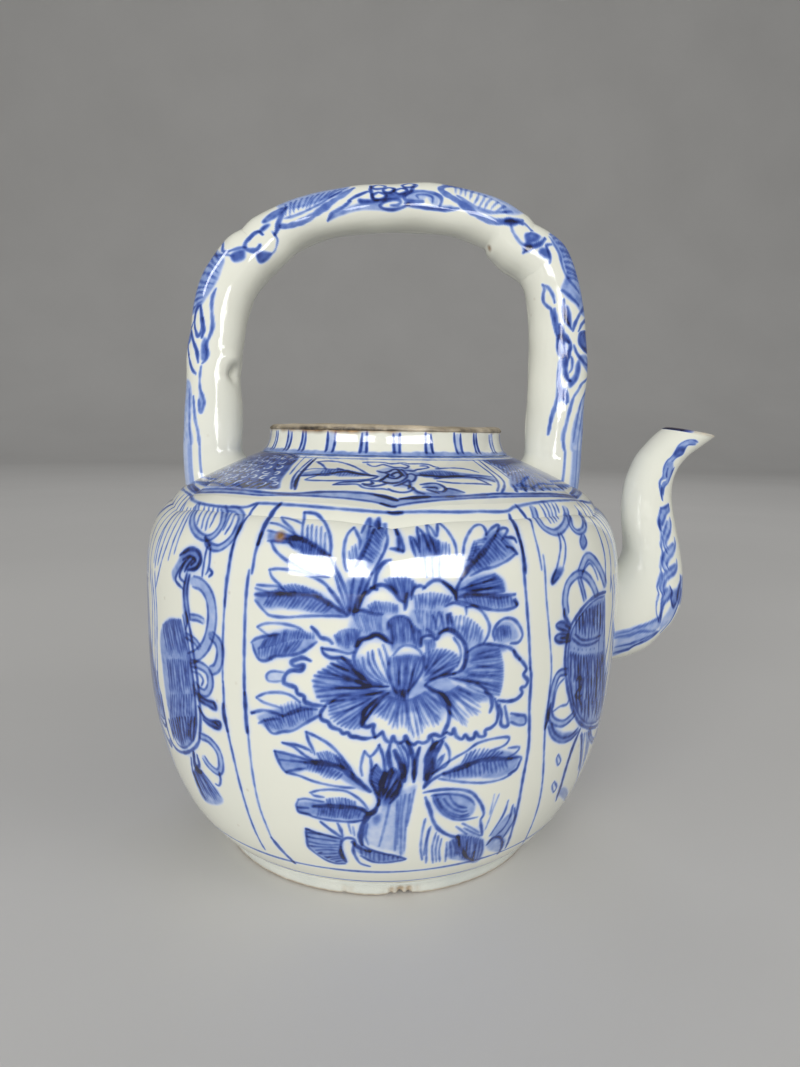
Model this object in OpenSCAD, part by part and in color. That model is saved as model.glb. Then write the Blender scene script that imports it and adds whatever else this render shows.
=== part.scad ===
// Six-lobed porcelain ewer with an overhead handle and an S-curved spout.
// Millimetres, +Z up, origin at the centre of the foot ring's underside, spout toward +X.

/* [Body] */
// Greatest radius of the bowl, at the middle of a lobe
belly_r = 68.7; // [55:0.1:82]
// Height of the greatest radius
belly_z = 68.5; // [55:0.5:82]
// Height of the moulded ridge where the bowl meets the shoulder
ridge_z = 99; // [82:0.5:120]
// Radius at the ridge as a share of the belly radius
ridge_ratio = 0.88; // [0.78:0.005:0.92]
// Height of the moulded band at the ridge
band_h = 3.5; // [2.5:0.1:5]
// How far the band leans in over its height
band_lean = 2.9; // [1.5:0.1:4]
// How far the middle of the band stands out
band_out = 0.3; // [0.1:0.1:1]
// How far the lobe centres stand out at the ridge
lobe_amp = 2; // [0.5:0.1:4]
// Wall thickness of the body
wall = 3.4; // [2.6:0.1:4.6]
// Rise of the sloping shoulder from the band to the neck
shoulder_rise = 10.3; // [7:0.1:14]

/* [Foot] */
// Radius of the foot ring as a share of the belly radius
foot_ratio = 0.68; // [0.6:0.002:0.78]
// Height of the foot ring
foot_h = 4.6; // [3.6:0.1:7]
// Width of the foot ring's resting face
foot_w = 4.8; // [3.5:0.1:7]
// Thickness of the base floor
floor_t = 4.4; // [3:0.1:6]

/* [Neck] */
// Outer radius at the neck's base as a share of the belly radius
neck_ratio = 0.517; // [0.45:0.001:0.58]
// Height of the neck collar below the lip
neck_h = 6.1; // [4:0.1:10]
// Height of the bare lip
lip_h = 1.6; // [1:0.1:3]
// How far the neck leans in over its height
neck_lean = 2.2; // [0.5:0.1:4]
// Radius of the mouth as a share of the belly radius
mouth_ratio = 0.4352; // [0.38:0.0001:0.5]

/* [Handle] */
// Height of the handle's top above the foot
handle_top = 188; // [165:0.5:226]
// Height at which the legs begin to curve in
handle_spring = 135; // [126:0.5:150]
// Thickness of a leg across, in the plane of the handle
leg_t = 16.4; // [12:0.1:20]
// Thickness of the arch at its top, in the plane of the handle
arch_t = 12.4; // [9:0.1:16]
// Width of the handle front to back
handle_w = 14.6; // [10:0.1:18]
// Wall thickness of the hollow handle
handle_wall = 3.2; // [2.4:0.1:4]
// How far the legs stand in from the ridge
leg_inset = 1.6; // [0:0.1:4]
// Squareness of the arch, 2 is an ellipse
arch_n = 2.5; // [2:0.05:3.5]

/* [Spout] */
// Reach of the spout's lip beyond the bowl
spout_reach = 31.7; // [24:0.1:40]
// Rise of the spout's mouth above the middle of its root
spout_rise = 56.5; // [45:0.5:70]
// Height of the middle of the root
spout_root_z = 64.8; // [55:0.1:75]
// Half height of the root opening
root_half_h = 15.2; // [11:0.1:18]
// Half width of the root
root_half_w = 11.2; // [8:0.1:14]
// Wall thickness of the spout
spout_wall = 2; // [1.6:0.1:2.8]
// Radius of the hole from the bowl into the spout
spout_hole_r = 7; // [4:0.1:8]

/* [Hidden] */
steps = 72;
tube_steps = 24;
luting_gap = 0.2;
seat_gap = 0.12;
ridge_r = belly_r * ridge_ratio;
foot_r = belly_r * foot_ratio;
neck_r = belly_r * neck_ratio;
mouth_r = belly_r * mouth_ratio;
band_top = ridge_z + band_h;
shoulder_top = band_top + shoulder_rise;
rim_z = shoulder_top + neck_h + lip_h;
floor_top = foot_h + floor_t;
floor_r = foot_r - 3.6;
heel_r = foot_r + 0.9;
leg_x = ridge_r - leg_t / 2 - leg_inset;
leg_foot_z = shoulder_top + 0.9;
arch_b = handle_top - arch_t / 2 - handle_spring;
joint_a = 41;
joint_half = 4.5;
vent_z = handle_spring + 4;
seam_z = spout_root_z - root_half_h - 3.6;

// 0 at the middle of a lobe, 1 at the groove between two lobes
function lobe_t(a) = abs((a + 480) % 60 - 30) / 30;
function crest(a) = 0.55 * pow(cos(90 * lobe_t(a)), 2) + 0.45 * pow(1 - lobe_t(a), 2);
function mix(a, b, t) = a + (b - a) * t;
function low_u(z) = (belly_z - z) / (belly_z - foot_h);
function high_u(z) = (z - belly_z) / (ridge_z - belly_z);
function low_r(z) = mix(heel_r, belly_r - 0.9, pow(max(0, 1 - pow(low_u(z), 2.65)), 0.72));
function high_r(z) = mix(ridge_r, belly_r - 0.9, pow(max(0, 1 - pow(high_u(z), 4)), 0.75));
function wall_r(z) = z < belly_z ? low_r(z) : high_r(min(z, ridge_z));
function bowl_r(a, z) = wall_r(z) + lobe_amp * pow(min(z, ridge_z) / ridge_z, 1.5) * crest(a);

// Shoulder surface, s runs from 0 at the band to 1 at the neck
function dome_base(a) = ridge_r - band_lean + lobe_amp * crest(a);
function dome_r(a, s) = mix(dome_base(a), neck_r, s);
function dome_z(s) = band_top + shoulder_rise * (1.18 * s - 0.18 * s * s);
function dome_s(r, a) = (dome_base(a) - r) / (dome_base(a) - neck_r);
function dome_at(x, y) = dome_z(min(1, max(0, dome_s(norm([x, y]), atan2(y, x)))));

function turn(i) = i * 360 / steps;
function bowl_ring(z, off) = [for (i = [0 : steps - 1])
    let (r = bowl_r(turn(i), z) + off) [r * cos(turn(i)), r * sin(turn(i)), z]];
function band_ring(off, h) = [for (p = bowl_ring(ridge_z, off)) p + [0, 0, h]];
function round_ring(r, z) = [for (i = [0 : steps - 1]) [r * cos(turn(i)), r * sin(turn(i)), z]];
function dome_ring(s, off, drop) = [for (i = [0 : steps - 1])
    let (r = dome_r(turn(i), s) + off)
    [r * cos(turn(i)), r * sin(turn(i)), max(band_top, dome_z(s) - drop)]];

function wrap_faces(n, m) = [for (j = [0 : m - 1], i = [0 : n - 1])
    let (k = (i + 1) % n, l = (j + 1) % m)
    each [[j * n + i, l * n + i, l * n + k], [j * n + i, l * n + k, j * n + k]]];
function side_faces(n, m) = [for (j = [0 : m - 2], i = [0 : n - 1])
    let (k = (i + 1) % n)
    each [[j * n + i, j * n + n + i, j * n + n + k], [j * n + i, j * n + n + k, j * n + k]]];
function fan_faces(n, first, hub, up) = [for (i = [0 : n - 1])
    let (k = (i + 1) % n)
    up ? [hub, first + k, first + i] : [hub, first + i, first + k]];

// Closed shell from rings that run round a wall's section
module shell(rings) {
    polyhedron(points = [for (r = rings) each r], faces = wrap_faces(len(rings[0]), len(rings)));
}

// Handle centreline, a runs from 0 at the spring of the +X leg to 180 at the other
function arch_at(a) = [
    leg_x * sign(cos(a)) * pow(abs(cos(a)), 2 / arch_n),
    0,
    handle_spring + arch_b * pow(sin(a), 2 / arch_n)];
function arch_dir(a) = let (d = arch_at(min(180, a + 0.5)) - arch_at(max(0, a - 0.5))) d / norm(d);
function arch_half(a) = mix(leg_t, arch_t, pow(sin(a), 3)) / 2;
function tube_ring(c, d, half_t, half_w) = [for (i = [0 : tube_steps - 1])
    let (b = i * 360 / tube_steps, n = [d[2], 0, -d[0]])
    c + n * half_t * cos(b) + [0, half_w * sin(b), 0]];
function arch_ring(a, off) = tube_ring(arch_at(a), arch_dir(a), arch_half(a) + off, handle_w / 2 + off);
function leg_ring(z, off) = tube_ring([leg_x, 0, z], [0, 0, 1], leg_t / 2 + off, handle_w / 2 + off);
function backward(v) = [for (i = [len(v) - 1 : -1 : 0]) v[i]];

module hollow_run(outer, inner) {
    shell(concat(outer, backward(inner)));
}

module leg_shape() {
    curve = [for (a = [8 : 8 : joint_a - joint_half - 4]) a];
    heights = [leg_foot_z, mix(leg_foot_z, handle_spring, 0.33), mix(leg_foot_z, handle_spring, 0.66)];
    hollow_run(
        concat([for (z = heights) leg_ring(z, 0)],
            [for (a = concat([0], curve, [joint_a - joint_half])) arch_ring(a, 0)]),
        concat([for (z = heights) leg_ring(z, -handle_wall)],
            [for (a = concat([0], curve, [joint_a - joint_half])) arch_ring(a, -handle_wall)]));
}

module joint_shape() {
    spots = [-joint_half, -joint_half * 0.4, joint_half * 0.4, joint_half];
    swell = [0.25, 1.1, 1.1, 0.25];
    hollow_run(
        [for (i = [0 : 3]) arch_ring(joint_a + spots[i], swell[i])],
        [for (i = [0 : 3]) arch_ring(joint_a + spots[i], -handle_wall)]);
}

// Luted foot of a leg, its underside follows the shoulder
function toe_ring(k) = [for (i = [0 : tube_steps - 1])
    let (b = i * 360 / tube_steps,
        x = leg_x - 1.2 + k * (leg_t / 2 + 0.4) * cos(b),
        y = -k * (handle_w / 2 + 2.2) * sin(b))
    [x, y, dome_at(x, y) + luting_gap]];
function neck_ring(t) = [for (i = [0 : tube_steps - 1])
    let (a = leg_ring(leg_foot_z, 0)[(tube_steps - i) % tube_steps], b = toe_ring(1)[i])
    [mix(a[0], b[0], t * t), mix(a[1], b[1], t * t), mix(a[2], b[2], t)]];
module leg_foot_shape() {
    rings = [toe_ring(0.5), toe_ring(1), neck_ring(0.66), neck_ring(0.33), neck_ring(0)];
    n = tube_steps;
    hub_low = n * len(rings);
    polyhedron(
        points = concat([for (r = rings) each r],
            [[leg_x - 1.2, 0, dome_at(leg_x - 1.2, 0) + luting_gap], [leg_x, 0, leg_foot_z]]),
        faces = concat(side_faces(n, len(rings)),
            fan_faces(n, 0, hub_low, false), fan_faces(n, n * (len(rings) - 1), hub_low + 1, true)));
}

// Spout stations: [under x, under z, upper x, upper z, half width], as shares of reach, rise and root width
stations = [
    [0.214, -0.258, 0.041, 0.278, 0.96],
    [0.419, -0.212, 0.136, 0.313, 0.91],
    [0.571, -0.133, 0.186, 0.358, 0.85],
    [0.691, -0.058, 0.18, 0.402, 0.8],
    [0.767, 0.048, 0.158, 0.455, 0.75],
    [0.77, 0.18, 0.142, 0.517, 0.71],
    [0.728, 0.322, 0.136, 0.579, 0.67],
    [0.666, 0.473, 0.139, 0.65, 0.63],
    [0.612, 0.614, 0.158, 0.719, 0.6],
    [0.609, 0.711, 0.198, 0.784, 0.58],
    [0.653, 0.788, 0.253, 0.85, 0.56],
    [0.745, 0.853, 0.335, 0.91, 0.55],
    [0.877, 0.908, 0.419, 0.963, 0.54],
    [1, 0.957, 0.501, 1.002, 0.5]];
function spout_x(u) = belly_r + spout_reach * u;
function spout_z(v) = spout_root_z + spout_rise * v;
function half_arc(side) = [for (i = [0 : 10]) side * (-90 + i * 18)];
function skin_x(y, z) = let (a = asin(y / belly_r)) sqrt(pow(bowl_r(a, z), 2) - y * y) + luting_gap;
function root_pt(b, off) = let (
        y = (root_half_w + off) * cos(b),
        z = spout_root_z + (root_half_h + off) * sin(b))
    [skin_x(y, z), y, z];
function station_pt(s, b, off) = let (
        lo = [spout_x(s[0]), 0, spout_z(s[1])],
        hi = [spout_x(s[2]), 0, spout_z(s[3])],
        half = norm(hi - lo) / 2,
        up = (hi - lo) / (2 * half),
        w = root_half_w * s[4] + off)
    (lo + hi) / 2 + up * (half + off) * sin(b) + [0, w * cos(b), 0];
function spout_line(k, b, off) = k == 0 ? root_pt(b, off) : station_pt(stations[k - 1], b, off);

// Half of the spout, as pressed in a two-part mould
module spout_half(side) {
    arc = [for (i = [0 : 10]) -90 + i * 18];
    count = len(stations) + 1;
    n = 2 * len(arc);
    rings = [for (k = [0 : count - 1])
        let (outer = [for (b = arc) spout_line(k, b, 0)],
            inner = [for (b = backward(arc)) spout_line(k, b, -spout_wall)],
            both = concat(outer, inner))
        [for (p = both) [p[0], p[1], p[2]]]];
    ends = [for (i = [0 : len(arc) - 2], top = [0, 1])
        let (f = top * n * (count - 1), a = f + i, b = f + i + 1, c = f + n - 2 - i, d = f + n - 1 - i)
        each (top == 1 ? [[a, c, b], [a, d, c]] : [[a, b, c], [a, c, d]])];
    mirror([0, side < 0 ? 1 : 0, 0])
        polyhedron(points = [for (r = rings) each r], faces = concat(side_faces(n, count), ends));
}

// Bare foot ring the pot stands on
module foot_ring() {
    color([0.78, 0.72, 0.64])
    rotate_extrude()
        polygon([[foot_r - foot_w, 0.6], [foot_r - foot_w + 0.6, 0], [foot_r - 0.8, 0],
            [foot_r, 0.8], [foot_r + 0.3, foot_h], [foot_r - foot_w - 0.4, foot_h]]);
}

// Floor of the bowl inside the foot ring
module base_floor() {
    color([0.86, 0.89, 0.9])
    translate([0, 0, foot_h])
        cylinder(r = floor_r, h = floor_t);
}

// Lower moulded half of the lobed wall, from the heel to the seam
module bowl_lower() {
    heights = [for (t = [0, 0.06, 0.14, 0.25, 0.4, 0.58, 0.78, 1]) mix(foot_h, seam_z, t)];
    inside = [for (z = heights) if (z > floor_top + 1.5) z];
    color([0.86, 0.9, 0.92])
    shell(concat(
        [for (z = heights) bowl_ring(z, 0)],
        [for (z = backward(inside)) bowl_ring(z, -wall)],
        [round_ring(bowl_r(30, floor_top) - wall - 1.5, floor_top),
        round_ring(floor_r + 0.12, floor_top), round_ring(floor_r + 0.12, foot_h)]));
}

// Upper moulded half of the lobed wall, from the seam to the ridge, with the hole into the spout
module bowl_upper() {
    heights = [for (t = [0, 0.2, 0.4, 0.55, 0.68, 0.78, 0.86, 0.92, 0.96, 0.985, 1]) mix(seam_z, ridge_z, t)];
    color([0.84, 0.88, 0.91])
    difference() {
        shell(concat([for (z = heights) bowl_ring(z, 0)], [for (z = backward(heights)) bowl_ring(z, -wall)]));
        translate([belly_r - 3 * wall, 0, spout_root_z])
            rotate([0, 90, 0])
                cylinder(r = spout_hole_r, h = 6 * wall);
    }
}

// Moulded band that marks the ridge
module ridge_band() {
    color([0.88, 0.92, 0.94])
    shell([band_ring(0, 0), band_ring(band_out - band_lean / 2, band_h / 2), band_ring(-band_lean, band_h),
        band_ring(-band_lean - wall, band_h), band_ring(-wall, 0)]);
}

// Sloping lobed shoulder with a flat seat for the neck
module shoulder() {
    color([0.84, 0.88, 0.92])
    shell([dome_ring(0, 0, 0), dome_ring(0.15, 0, 0), dome_ring(0.35, 0, 0), dome_ring(0.55, 0, 0),
        dome_ring(0.75, 0, 0), dome_ring(0.9, 0, 0), round_ring(neck_r + 0.3, shoulder_top),
        round_ring(mouth_r + 0.4, shoulder_top), round_ring(mouth_r + 0.4, shoulder_top - 2.2),
        round_ring(neck_r, shoulder_top - wall), dome_ring(0.7, 0, wall), dome_ring(0.4, 0, wall),
        dome_ring(0.12, -wall * 0.6, wall * 1.4)]);
}

// Low neck collar with a straight bore
module neck_collar() {
    top_r = neck_r - neck_lean * neck_h / (neck_h + lip_h);
    color([0.84, 0.88, 0.93])
    rotate_extrude()
        polygon([[mouth_r, shoulder_top], [neck_r, shoulder_top], [top_r, shoulder_top + neck_h],
            [mouth_r, shoulder_top + neck_h]]);
}

// Bare lip of the mouth
module mouth_lip() {
    base_r = neck_r - neck_lean * neck_h / (neck_h + lip_h);
    color([0.46, 0.38, 0.28])
    rotate_extrude()
        polygon([[mouth_r, rim_z - lip_h], [base_r, rim_z - lip_h], [neck_r - neck_lean, rim_z - 0.5],
            [neck_r - neck_lean - 0.5, rim_z], [mouth_r + 0.3, rim_z], [mouth_r, rim_z - 0.3]]);
}

// Moulded spout half toward -Y
module spout_left() {
    color([0.84, 0.88, 0.93])
    spout_half(-1);
}

// Moulded spout half toward +Y
module spout_right() {
    color([0.84, 0.88, 0.93])
    spout_half(1);
}

// Fillet of slip that lutes the spout to the bowl
module spout_luting() {
    turns = [for (i = [0 : 31]) i * 360 / 32];
    color([0.85, 0.89, 0.93])
    shell([
        [for (b = turns) root_pt(b, seat_gap)],
        [for (b = turns) root_pt(b, 2.2)],
        [for (b = turns) mix(root_pt(b, 1.1), station_pt(stations[0], b, 1.1), 0.28)],
        [for (b = turns) mix(root_pt(b, seat_gap), station_pt(stations[0], b, seat_gap), 0.4)]]);
}

// Luted foot of the leg on the spout side
module leg_foot_front() {
    color([0.85, 0.89, 0.93])
    leg_foot_shape();
}

// Luted foot of the far leg
module leg_foot_rear() {
    color([0.85, 0.89, 0.93])
    rotate([0, 0, 180])
        leg_foot_shape();
}

// Hollow leg on the spout side
module handle_leg_front() {
    color([0.83, 0.88, 0.93])
    leg_shape();
}

// Hollow leg away from the spout, with the firing vent
module handle_leg_rear() {
    color([0.83, 0.88, 0.93])
    difference() {
        rotate([0, 0, 180])
            leg_shape();
        translate([-leg_x + leg_t / 4, -handle_w / 2, vent_z])
            rotate([0, 0, 30])
                cube([2, 2.2 * handle_wall, 5], center = true);
    }
}

// Luted joint between the arch and the leg on the spout side
module joint_front() {
    color([0.82, 0.87, 0.93])
    joint_shape();
}

// Luted joint between the arch and the far leg
module joint_rear() {
    color([0.82, 0.87, 0.93])
    rotate([0, 0, 180])
        joint_shape();
}

// Hollow arch between the two joints
module handle_arch() {
    first = joint_a + joint_half;
    spots = [for (i = [0 : 12]) first + i * (180 - 2 * first) / 12];
    color([0.83, 0.88, 0.93])
    hollow_run([for (a = spots) arch_ring(a, 0)], [for (a = spots) arch_ring(a, -handle_wall)]);
}

foot_ring();
base_floor();
bowl_lower();
bowl_upper();
ridge_band();
shoulder();
neck_collar();
mouth_lip();
spout_left();
spout_right();
spout_luting();
leg_foot_front();
leg_foot_rear();
handle_leg_front();
handle_leg_rear();
joint_front();
joint_rear();
handle_arch();
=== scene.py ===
import math

import bpy
import numpy as np
from mathutils import Matrix, Vector


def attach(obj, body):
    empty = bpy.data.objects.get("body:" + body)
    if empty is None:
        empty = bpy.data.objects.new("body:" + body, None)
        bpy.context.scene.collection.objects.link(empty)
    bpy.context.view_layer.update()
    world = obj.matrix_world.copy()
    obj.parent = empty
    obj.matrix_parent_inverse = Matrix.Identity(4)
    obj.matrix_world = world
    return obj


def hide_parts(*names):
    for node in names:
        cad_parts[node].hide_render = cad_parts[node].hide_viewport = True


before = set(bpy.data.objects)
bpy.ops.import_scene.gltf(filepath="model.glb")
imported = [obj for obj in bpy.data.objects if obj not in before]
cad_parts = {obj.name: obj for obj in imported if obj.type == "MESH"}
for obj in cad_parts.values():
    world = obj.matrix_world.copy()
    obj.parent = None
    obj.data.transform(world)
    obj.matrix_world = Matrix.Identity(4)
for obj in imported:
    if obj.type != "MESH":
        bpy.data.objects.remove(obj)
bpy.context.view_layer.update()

# Millimetres up to the last step of each mesh. These sizes are the CAD source's, with each radius
# worked out from its shares; BELLY is the radius of its wall in a groove between two lobes
BELLY, BELLY_Z, RIDGE, RIDGE_Z, HEEL, FOOT = 67.8, 68.5, 60.46, 99.0, 47.62, 46.72
NECK, MOUTH, FOOT_H, BAND_H, RISE, WALL = 35.52, 29.9, 4.6, 3.5, 10.3, 3.4
LEAN = 2.9
BAND_TOP = RIDGE_Z + BAND_H
SHOULDER_TOP = BAND_TOP + RISE
# Grooves between the lobes, in degrees round the pot
GROOVES = [-178.1, -124.2, -58.1, -4.2, 61.9, 115.8, 181.9]

# ---------------------------------------------------------------- camera
PITCH, ROLL, YAW = 0.131, 0.018, math.radians(-4)
turn = Matrix.Rotation(YAW, 3, "Z")
ahead = Vector((0, math.cos(PITCH), -math.sin(PITCH)))
over = Vector((0, math.sin(PITCH), math.cos(PITCH)))
side = Vector((1, 0, 0))
right = side * math.cos(ROLL) + over * math.sin(ROLL)
up = over * math.cos(ROLL) - side * math.sin(ROLL)
eye = turn @ Vector((4.8, -232.47, 118.951)) * 0.001
axes = [turn @ right, turn @ up, turn @ -ahead]
cam = bpy.data.objects.new("camera", bpy.data.cameras.new("camera"))
cam.data.sensor_width, cam.data.lens = 36, 776 * 36 / 1067
cam.data.clip_start, cam.data.clip_end = 0.01, 20
cam.matrix_world = Matrix(
    [[axes[0][i], axes[1][i], axes[2][i], eye[i]] for i in range(3)] + [[0, 0, 0, 1]]
)
bpy.context.scene.collection.objects.link(cam)
bpy.context.scene.camera = cam


# ---------------------------------------------------------------- drawing with a brush
def blur(a, n):
    """Two passes of a box filter of 2n+1 cells"""
    if n < 1:
        return a
    for _ in range(2):
        for ax in (0, 1):
            pad = [(0, 0), (0, 0)]
            pad[ax] = (n + 1, n)
            c = np.cumsum(np.pad(a, pad, mode="edge"), axis=ax, dtype=np.float64)
            k = 2 * n + 1
            c = c[k:] - c[:-k] if ax == 0 else c[:, k:] - c[:, :-k]
            a = (c / k).astype(np.float32)
    return a


def grain(shape, period, seed):
    """Smooth noise from 0 to 1, with about one bump every period cells"""
    ny, nx = max(4, int(shape[0] / period) + 3), max(4, int(shape[1] / period) + 3)
    g = np.random.default_rng(seed).random((ny, nx)).astype(np.float32)
    g[:, -1] = g[:, 0]
    y, x = np.linspace(0, ny - 1.001, shape[0]), np.linspace(0, nx - 1.001, shape[1])
    j, i = y.astype(int), x.astype(int)
    fy, fx = y - j, x - i
    fy, fx = (fy * fy * (3 - 2 * fy))[:, None], (fx * fx * (3 - 2 * fx))[None]
    a, b = g[j][:, i], g[j][:, i + 1]
    c, d = g[j + 1][:, i], g[j + 1][:, i + 1]
    return (a * (1 - fx) + b * fx) * (1 - fy) + (c * (1 - fx) + d * fx) * fy


def curve(p, step):
    """Smooth curve through the points p, sampled about every step"""
    p = np.asarray(p, float)
    if len(p) < 2:
        return p
    q = np.vstack([2 * p[0] - p[1], p, 2 * p[-1] - p[-2]])
    out = []
    for i in range(1, len(q) - 2):
        a, b, c, d = q[i - 1 : i + 3]
        n = max(2, int(np.hypot(*(c - b)) / step) + 1)
        t = np.arange(n)[:, None] / n
        out.append(
            0.5
            * (2 * b + (c - a) * t + (2 * a - 5 * b + 4 * c - d) * t**2 + (3 * b - a - 3 * c + d) * t**3)
        )
    return np.vstack(out + [q[-2][None]])


def along(c, n):
    """n points evenly along the curve c"""
    s = np.r_[0, np.cumsum(np.hypot(*np.diff(c, axis=0).T))]
    t = np.linspace(0, s[-1], n)
    return np.stack([np.interp(t, s, c[:, 0]), np.interp(t, s, c[:, 1])], 1)


class Canvas:
    """A field of pigment depth, laid on by brush strokes"""

    def __init__(self, x0, x1, y0, y1, cell=0.15, wrap=False):
        self.x0, self.y0, self.cell, self.wrap = x0, y0, cell, wrap
        self.nx, self.ny = round((x1 - x0) / cell), round((y1 - y0) / cell)
        self.d = np.zeros((self.ny, self.nx), np.float32)
        self.count = 0

    def add(self, i0, j0, block):
        j = np.arange(j0, j0 + block.shape[0])
        i = np.arange(i0, i0 + block.shape[1])
        if self.wrap:
            i, ok = i % self.nx, np.ones(len(i), bool)
        else:
            ok = (i >= 0) & (i < self.nx)
        rows = (j >= 0) & (j < self.ny)
        if rows.any() and ok.any():
            self.d[np.ix_(j[rows], i[ok])] += block[np.ix_(rows, ok)]

    def stroke(self, pts, width, depth, ends=(0.55, 0.55), soft=0.3):
        self.count += 1
        c = curve(pts, self.cell * 0.9)
        if len(c) < 2:
            return
        s = np.r_[0, np.cumsum(np.hypot(*np.diff(c, axis=0).T))]
        length = max(s[-1], 1e-6)
        ph = self.count * 2.399
        w = 1 + 0.13 * np.sin(s * 0.9 + ph) + 0.08 * np.sin(s * 2.3 + 2 * ph)
        near = np.minimum(1, s / (2.4 * width))
        far = np.minimum(1, (length - s) / (2.4 * width))
        w = w * (ends[0] + (1 - ends[0]) * near) * (ends[1] + (1 - ends[1]) * far)
        r = width / 2 * w
        ink = 1 + 0.16 * np.sin(s * 0.55 + 3 * ph)
        ink += 0.2 * np.exp(-s / 1.2) + 0.12 * np.exp(-(length - s) / 0.8)
        k = int((width * 0.62 + soft) / self.cell) + 2
        off = np.arange(-k, k + 1)
        ix = np.floor((c[:, 0] - self.x0) / self.cell).astype(int)
        iy = np.floor((c[:, 1] - self.y0) / self.cell).astype(int)
        i0, j0 = ix.min() - k, iy.min() - k
        block = np.zeros((iy.max() + k + 1 - j0, ix.max() + k + 1 - i0), np.float32)
        gx, gy = ix[:, None, None] + off[None, None, :], iy[:, None, None] + off[None, :, None]
        dist = np.hypot(
            (gx + 0.5) * self.cell + self.x0 - c[:, 0, None, None],
            (gy + 0.5) * self.cell + self.y0 - c[:, 1, None, None],
        )
        m = np.clip((r[:, None, None] - dist) / soft + 0.5, 0, 1) * ink[:, None, None]
        flat = (gy - j0) * block.shape[1] + (gx - i0)
        np.maximum.at(block.reshape(-1), flat.reshape(-1), m.reshape(-1).astype(np.float32))
        self.add(i0, j0, block * depth)

    def wash(self, pts, depth):
        self.count += 1
        c = curve(np.vstack([pts, pts[:1]]), 0.6)
        pad = 1.2
        i0, j0 = (int((c[:, k].min() - pad - o) / self.cell) for k, o in ((0, self.x0), (1, self.y0)))
        nx, ny = (int((np.ptp(c[:, k]) + 2 * pad) / self.cell) for k in (0, 1))
        x = (np.arange(i0, i0 + nx) + 0.5) * self.cell + self.x0
        y = (np.arange(j0, j0 + ny) + 0.5) * self.cell + self.y0
        inside = np.zeros((ny, nx), bool)
        a, b = c[:-1], c[1:]
        for (xa, ya), (xb, yb) in zip(a, b):
            if ya == yb:
                continue
            rows = (ya > y) != (yb > y)
            if rows.any():
                cross = xa + (y[rows] - ya) * (xb - xa) / (yb - ya)
                inside[rows] ^= x[None, :] < cross[:, None]
        f = inside.astype(np.float32)
        n = max(1, round(0.3 / self.cell))
        body, wide = blur(f, n), blur(f, 3 * n)
        pool = body * (1 - wide) * 0.7
        patch = 0.7 + 0.6 * grain(f.shape, 1.6 / self.cell, self.count)
        self.add(i0, j0, depth * (body * patch * 0.85 + pool))

    def paint(self, rows, ox=0.0, sx=1.0, sy=1.0, oy=0.0, thin=1.0, low=-1e9):
        """
        Draws strokes. Points are scaled by sx and sy and moved by ox and oy, widths are scaled
        by thin, and strokes that stay under low are left out.
        """
        for kind, numbers, parts in rows:
            parts = [p * [sx, sy] + [ox, oy] for p in parts]
            if max(p[:, 1].max() for p in parts) < low:
                continue
            if kind == "s":
                width, depth = numbers
                for p in parts:
                    self.stroke(p, width * thin, depth)
            elif kind == "d":
                self.double(parts[0], *numbers, thin)
            elif kind == "h":
                self.hatch(*parts, *numbers, thin)
            elif kind == "w":
                self.wash(parts[0], *numbers)

    def double(self, p, gap, width, depth, thin):
        """Two lines side by side with a pale fill between them"""
        gap, width = gap * thin, width * thin
        c = curve(p, 0.5)
        n = np.gradient(c, axis=0)
        n = np.stack([-n[:, 1], n[:, 0]], 1) / np.maximum(np.hypot(*n.T), 1e-6)[:, None]
        for k in (-0.5, 0.5):
            self.stroke((c + n * gap * k)[::2], width, depth)
        self.stroke(c[::2], gap * 0.95, 0.22, (0.9, 0.9))

    def hatch(self, a, b, n, width, depth, thin):
        """n tapering lines from guide a to guide b"""
        n, width = int(n), width * thin
        a, b = along(curve(a, 0.4), n), along(curve(b, 0.4), n)
        for i in range(n):
            ph = (self.count * 1.7) % 6.28
            e = a[i] + (b[i] - a[i]) * (0.93 + 0.1 * math.sin(ph * 3))
            bow = np.array([-(e - a[i])[1], (e - a[i])[0]]) * 0.05 * math.sin(ph)
            self.stroke([a[i], (a[i] + e) / 2 + bow, e], width, depth, (0.9, 0.2))

    def finish(self, seed):
        """Lets the pigment bleed into the glaze and gather unevenly"""
        n = max(1, round(0.12 / self.cell))
        mottle = 0.82 + 0.36 * grain(self.d.shape, 1.1 / self.cell, seed)
        soft = blur(self.d, n)
        halo = blur(self.d, 5 * n)
        self.d = np.clip(0.55 * self.d + 0.45 * soft, 0, 2.2) * mottle + 0.09 * np.maximum(halo, 0)

    def sample(self, x, y):
        gx, gy = (x - self.x0) / self.cell - 0.5, (y - self.y0) / self.cell - 0.5
        gy = np.clip(gy, 0, self.ny - 1.001)
        if not self.wrap:
            gx = np.clip(gx, 0, self.nx - 1.001)
        i, j = np.floor(gx).astype(int), np.floor(gy).astype(int)
        fx, fy = gx - i, gy - j
        i, k = i % self.nx, (i + 1) % self.nx
        d = self.d
        top = d[j + 1, i] * (1 - fx) + d[j + 1, k] * fx
        return (d[j, i] * (1 - fx) + d[j, k] * fx) * (1 - fy) + top * fy


# ---------------------------------------------------------------- the pot's surface
z_run = np.linspace(FOOT_H, RIDGE_Z, 2000)


def wall_r(z):
    z = np.clip(z, FOOT_H, RIDGE_Z)
    lo = np.clip((BELLY_Z - z) / (BELLY_Z - FOOT_H), 0, 1)
    hi = np.clip((z - BELLY_Z) / (RIDGE_Z - BELLY_Z), 0, 1)
    return np.where(
        z < BELLY_Z,
        HEEL + (BELLY - HEEL) * (1 - lo**2.65) ** 0.72,
        RIDGE + (BELLY - RIDGE) * (1 - hi**4) ** 0.75,
    )


t_run = np.r_[0, np.cumsum(np.hypot(np.diff(z_run), np.diff(wall_r(z_run))))]
T = t_run[-1]


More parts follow.
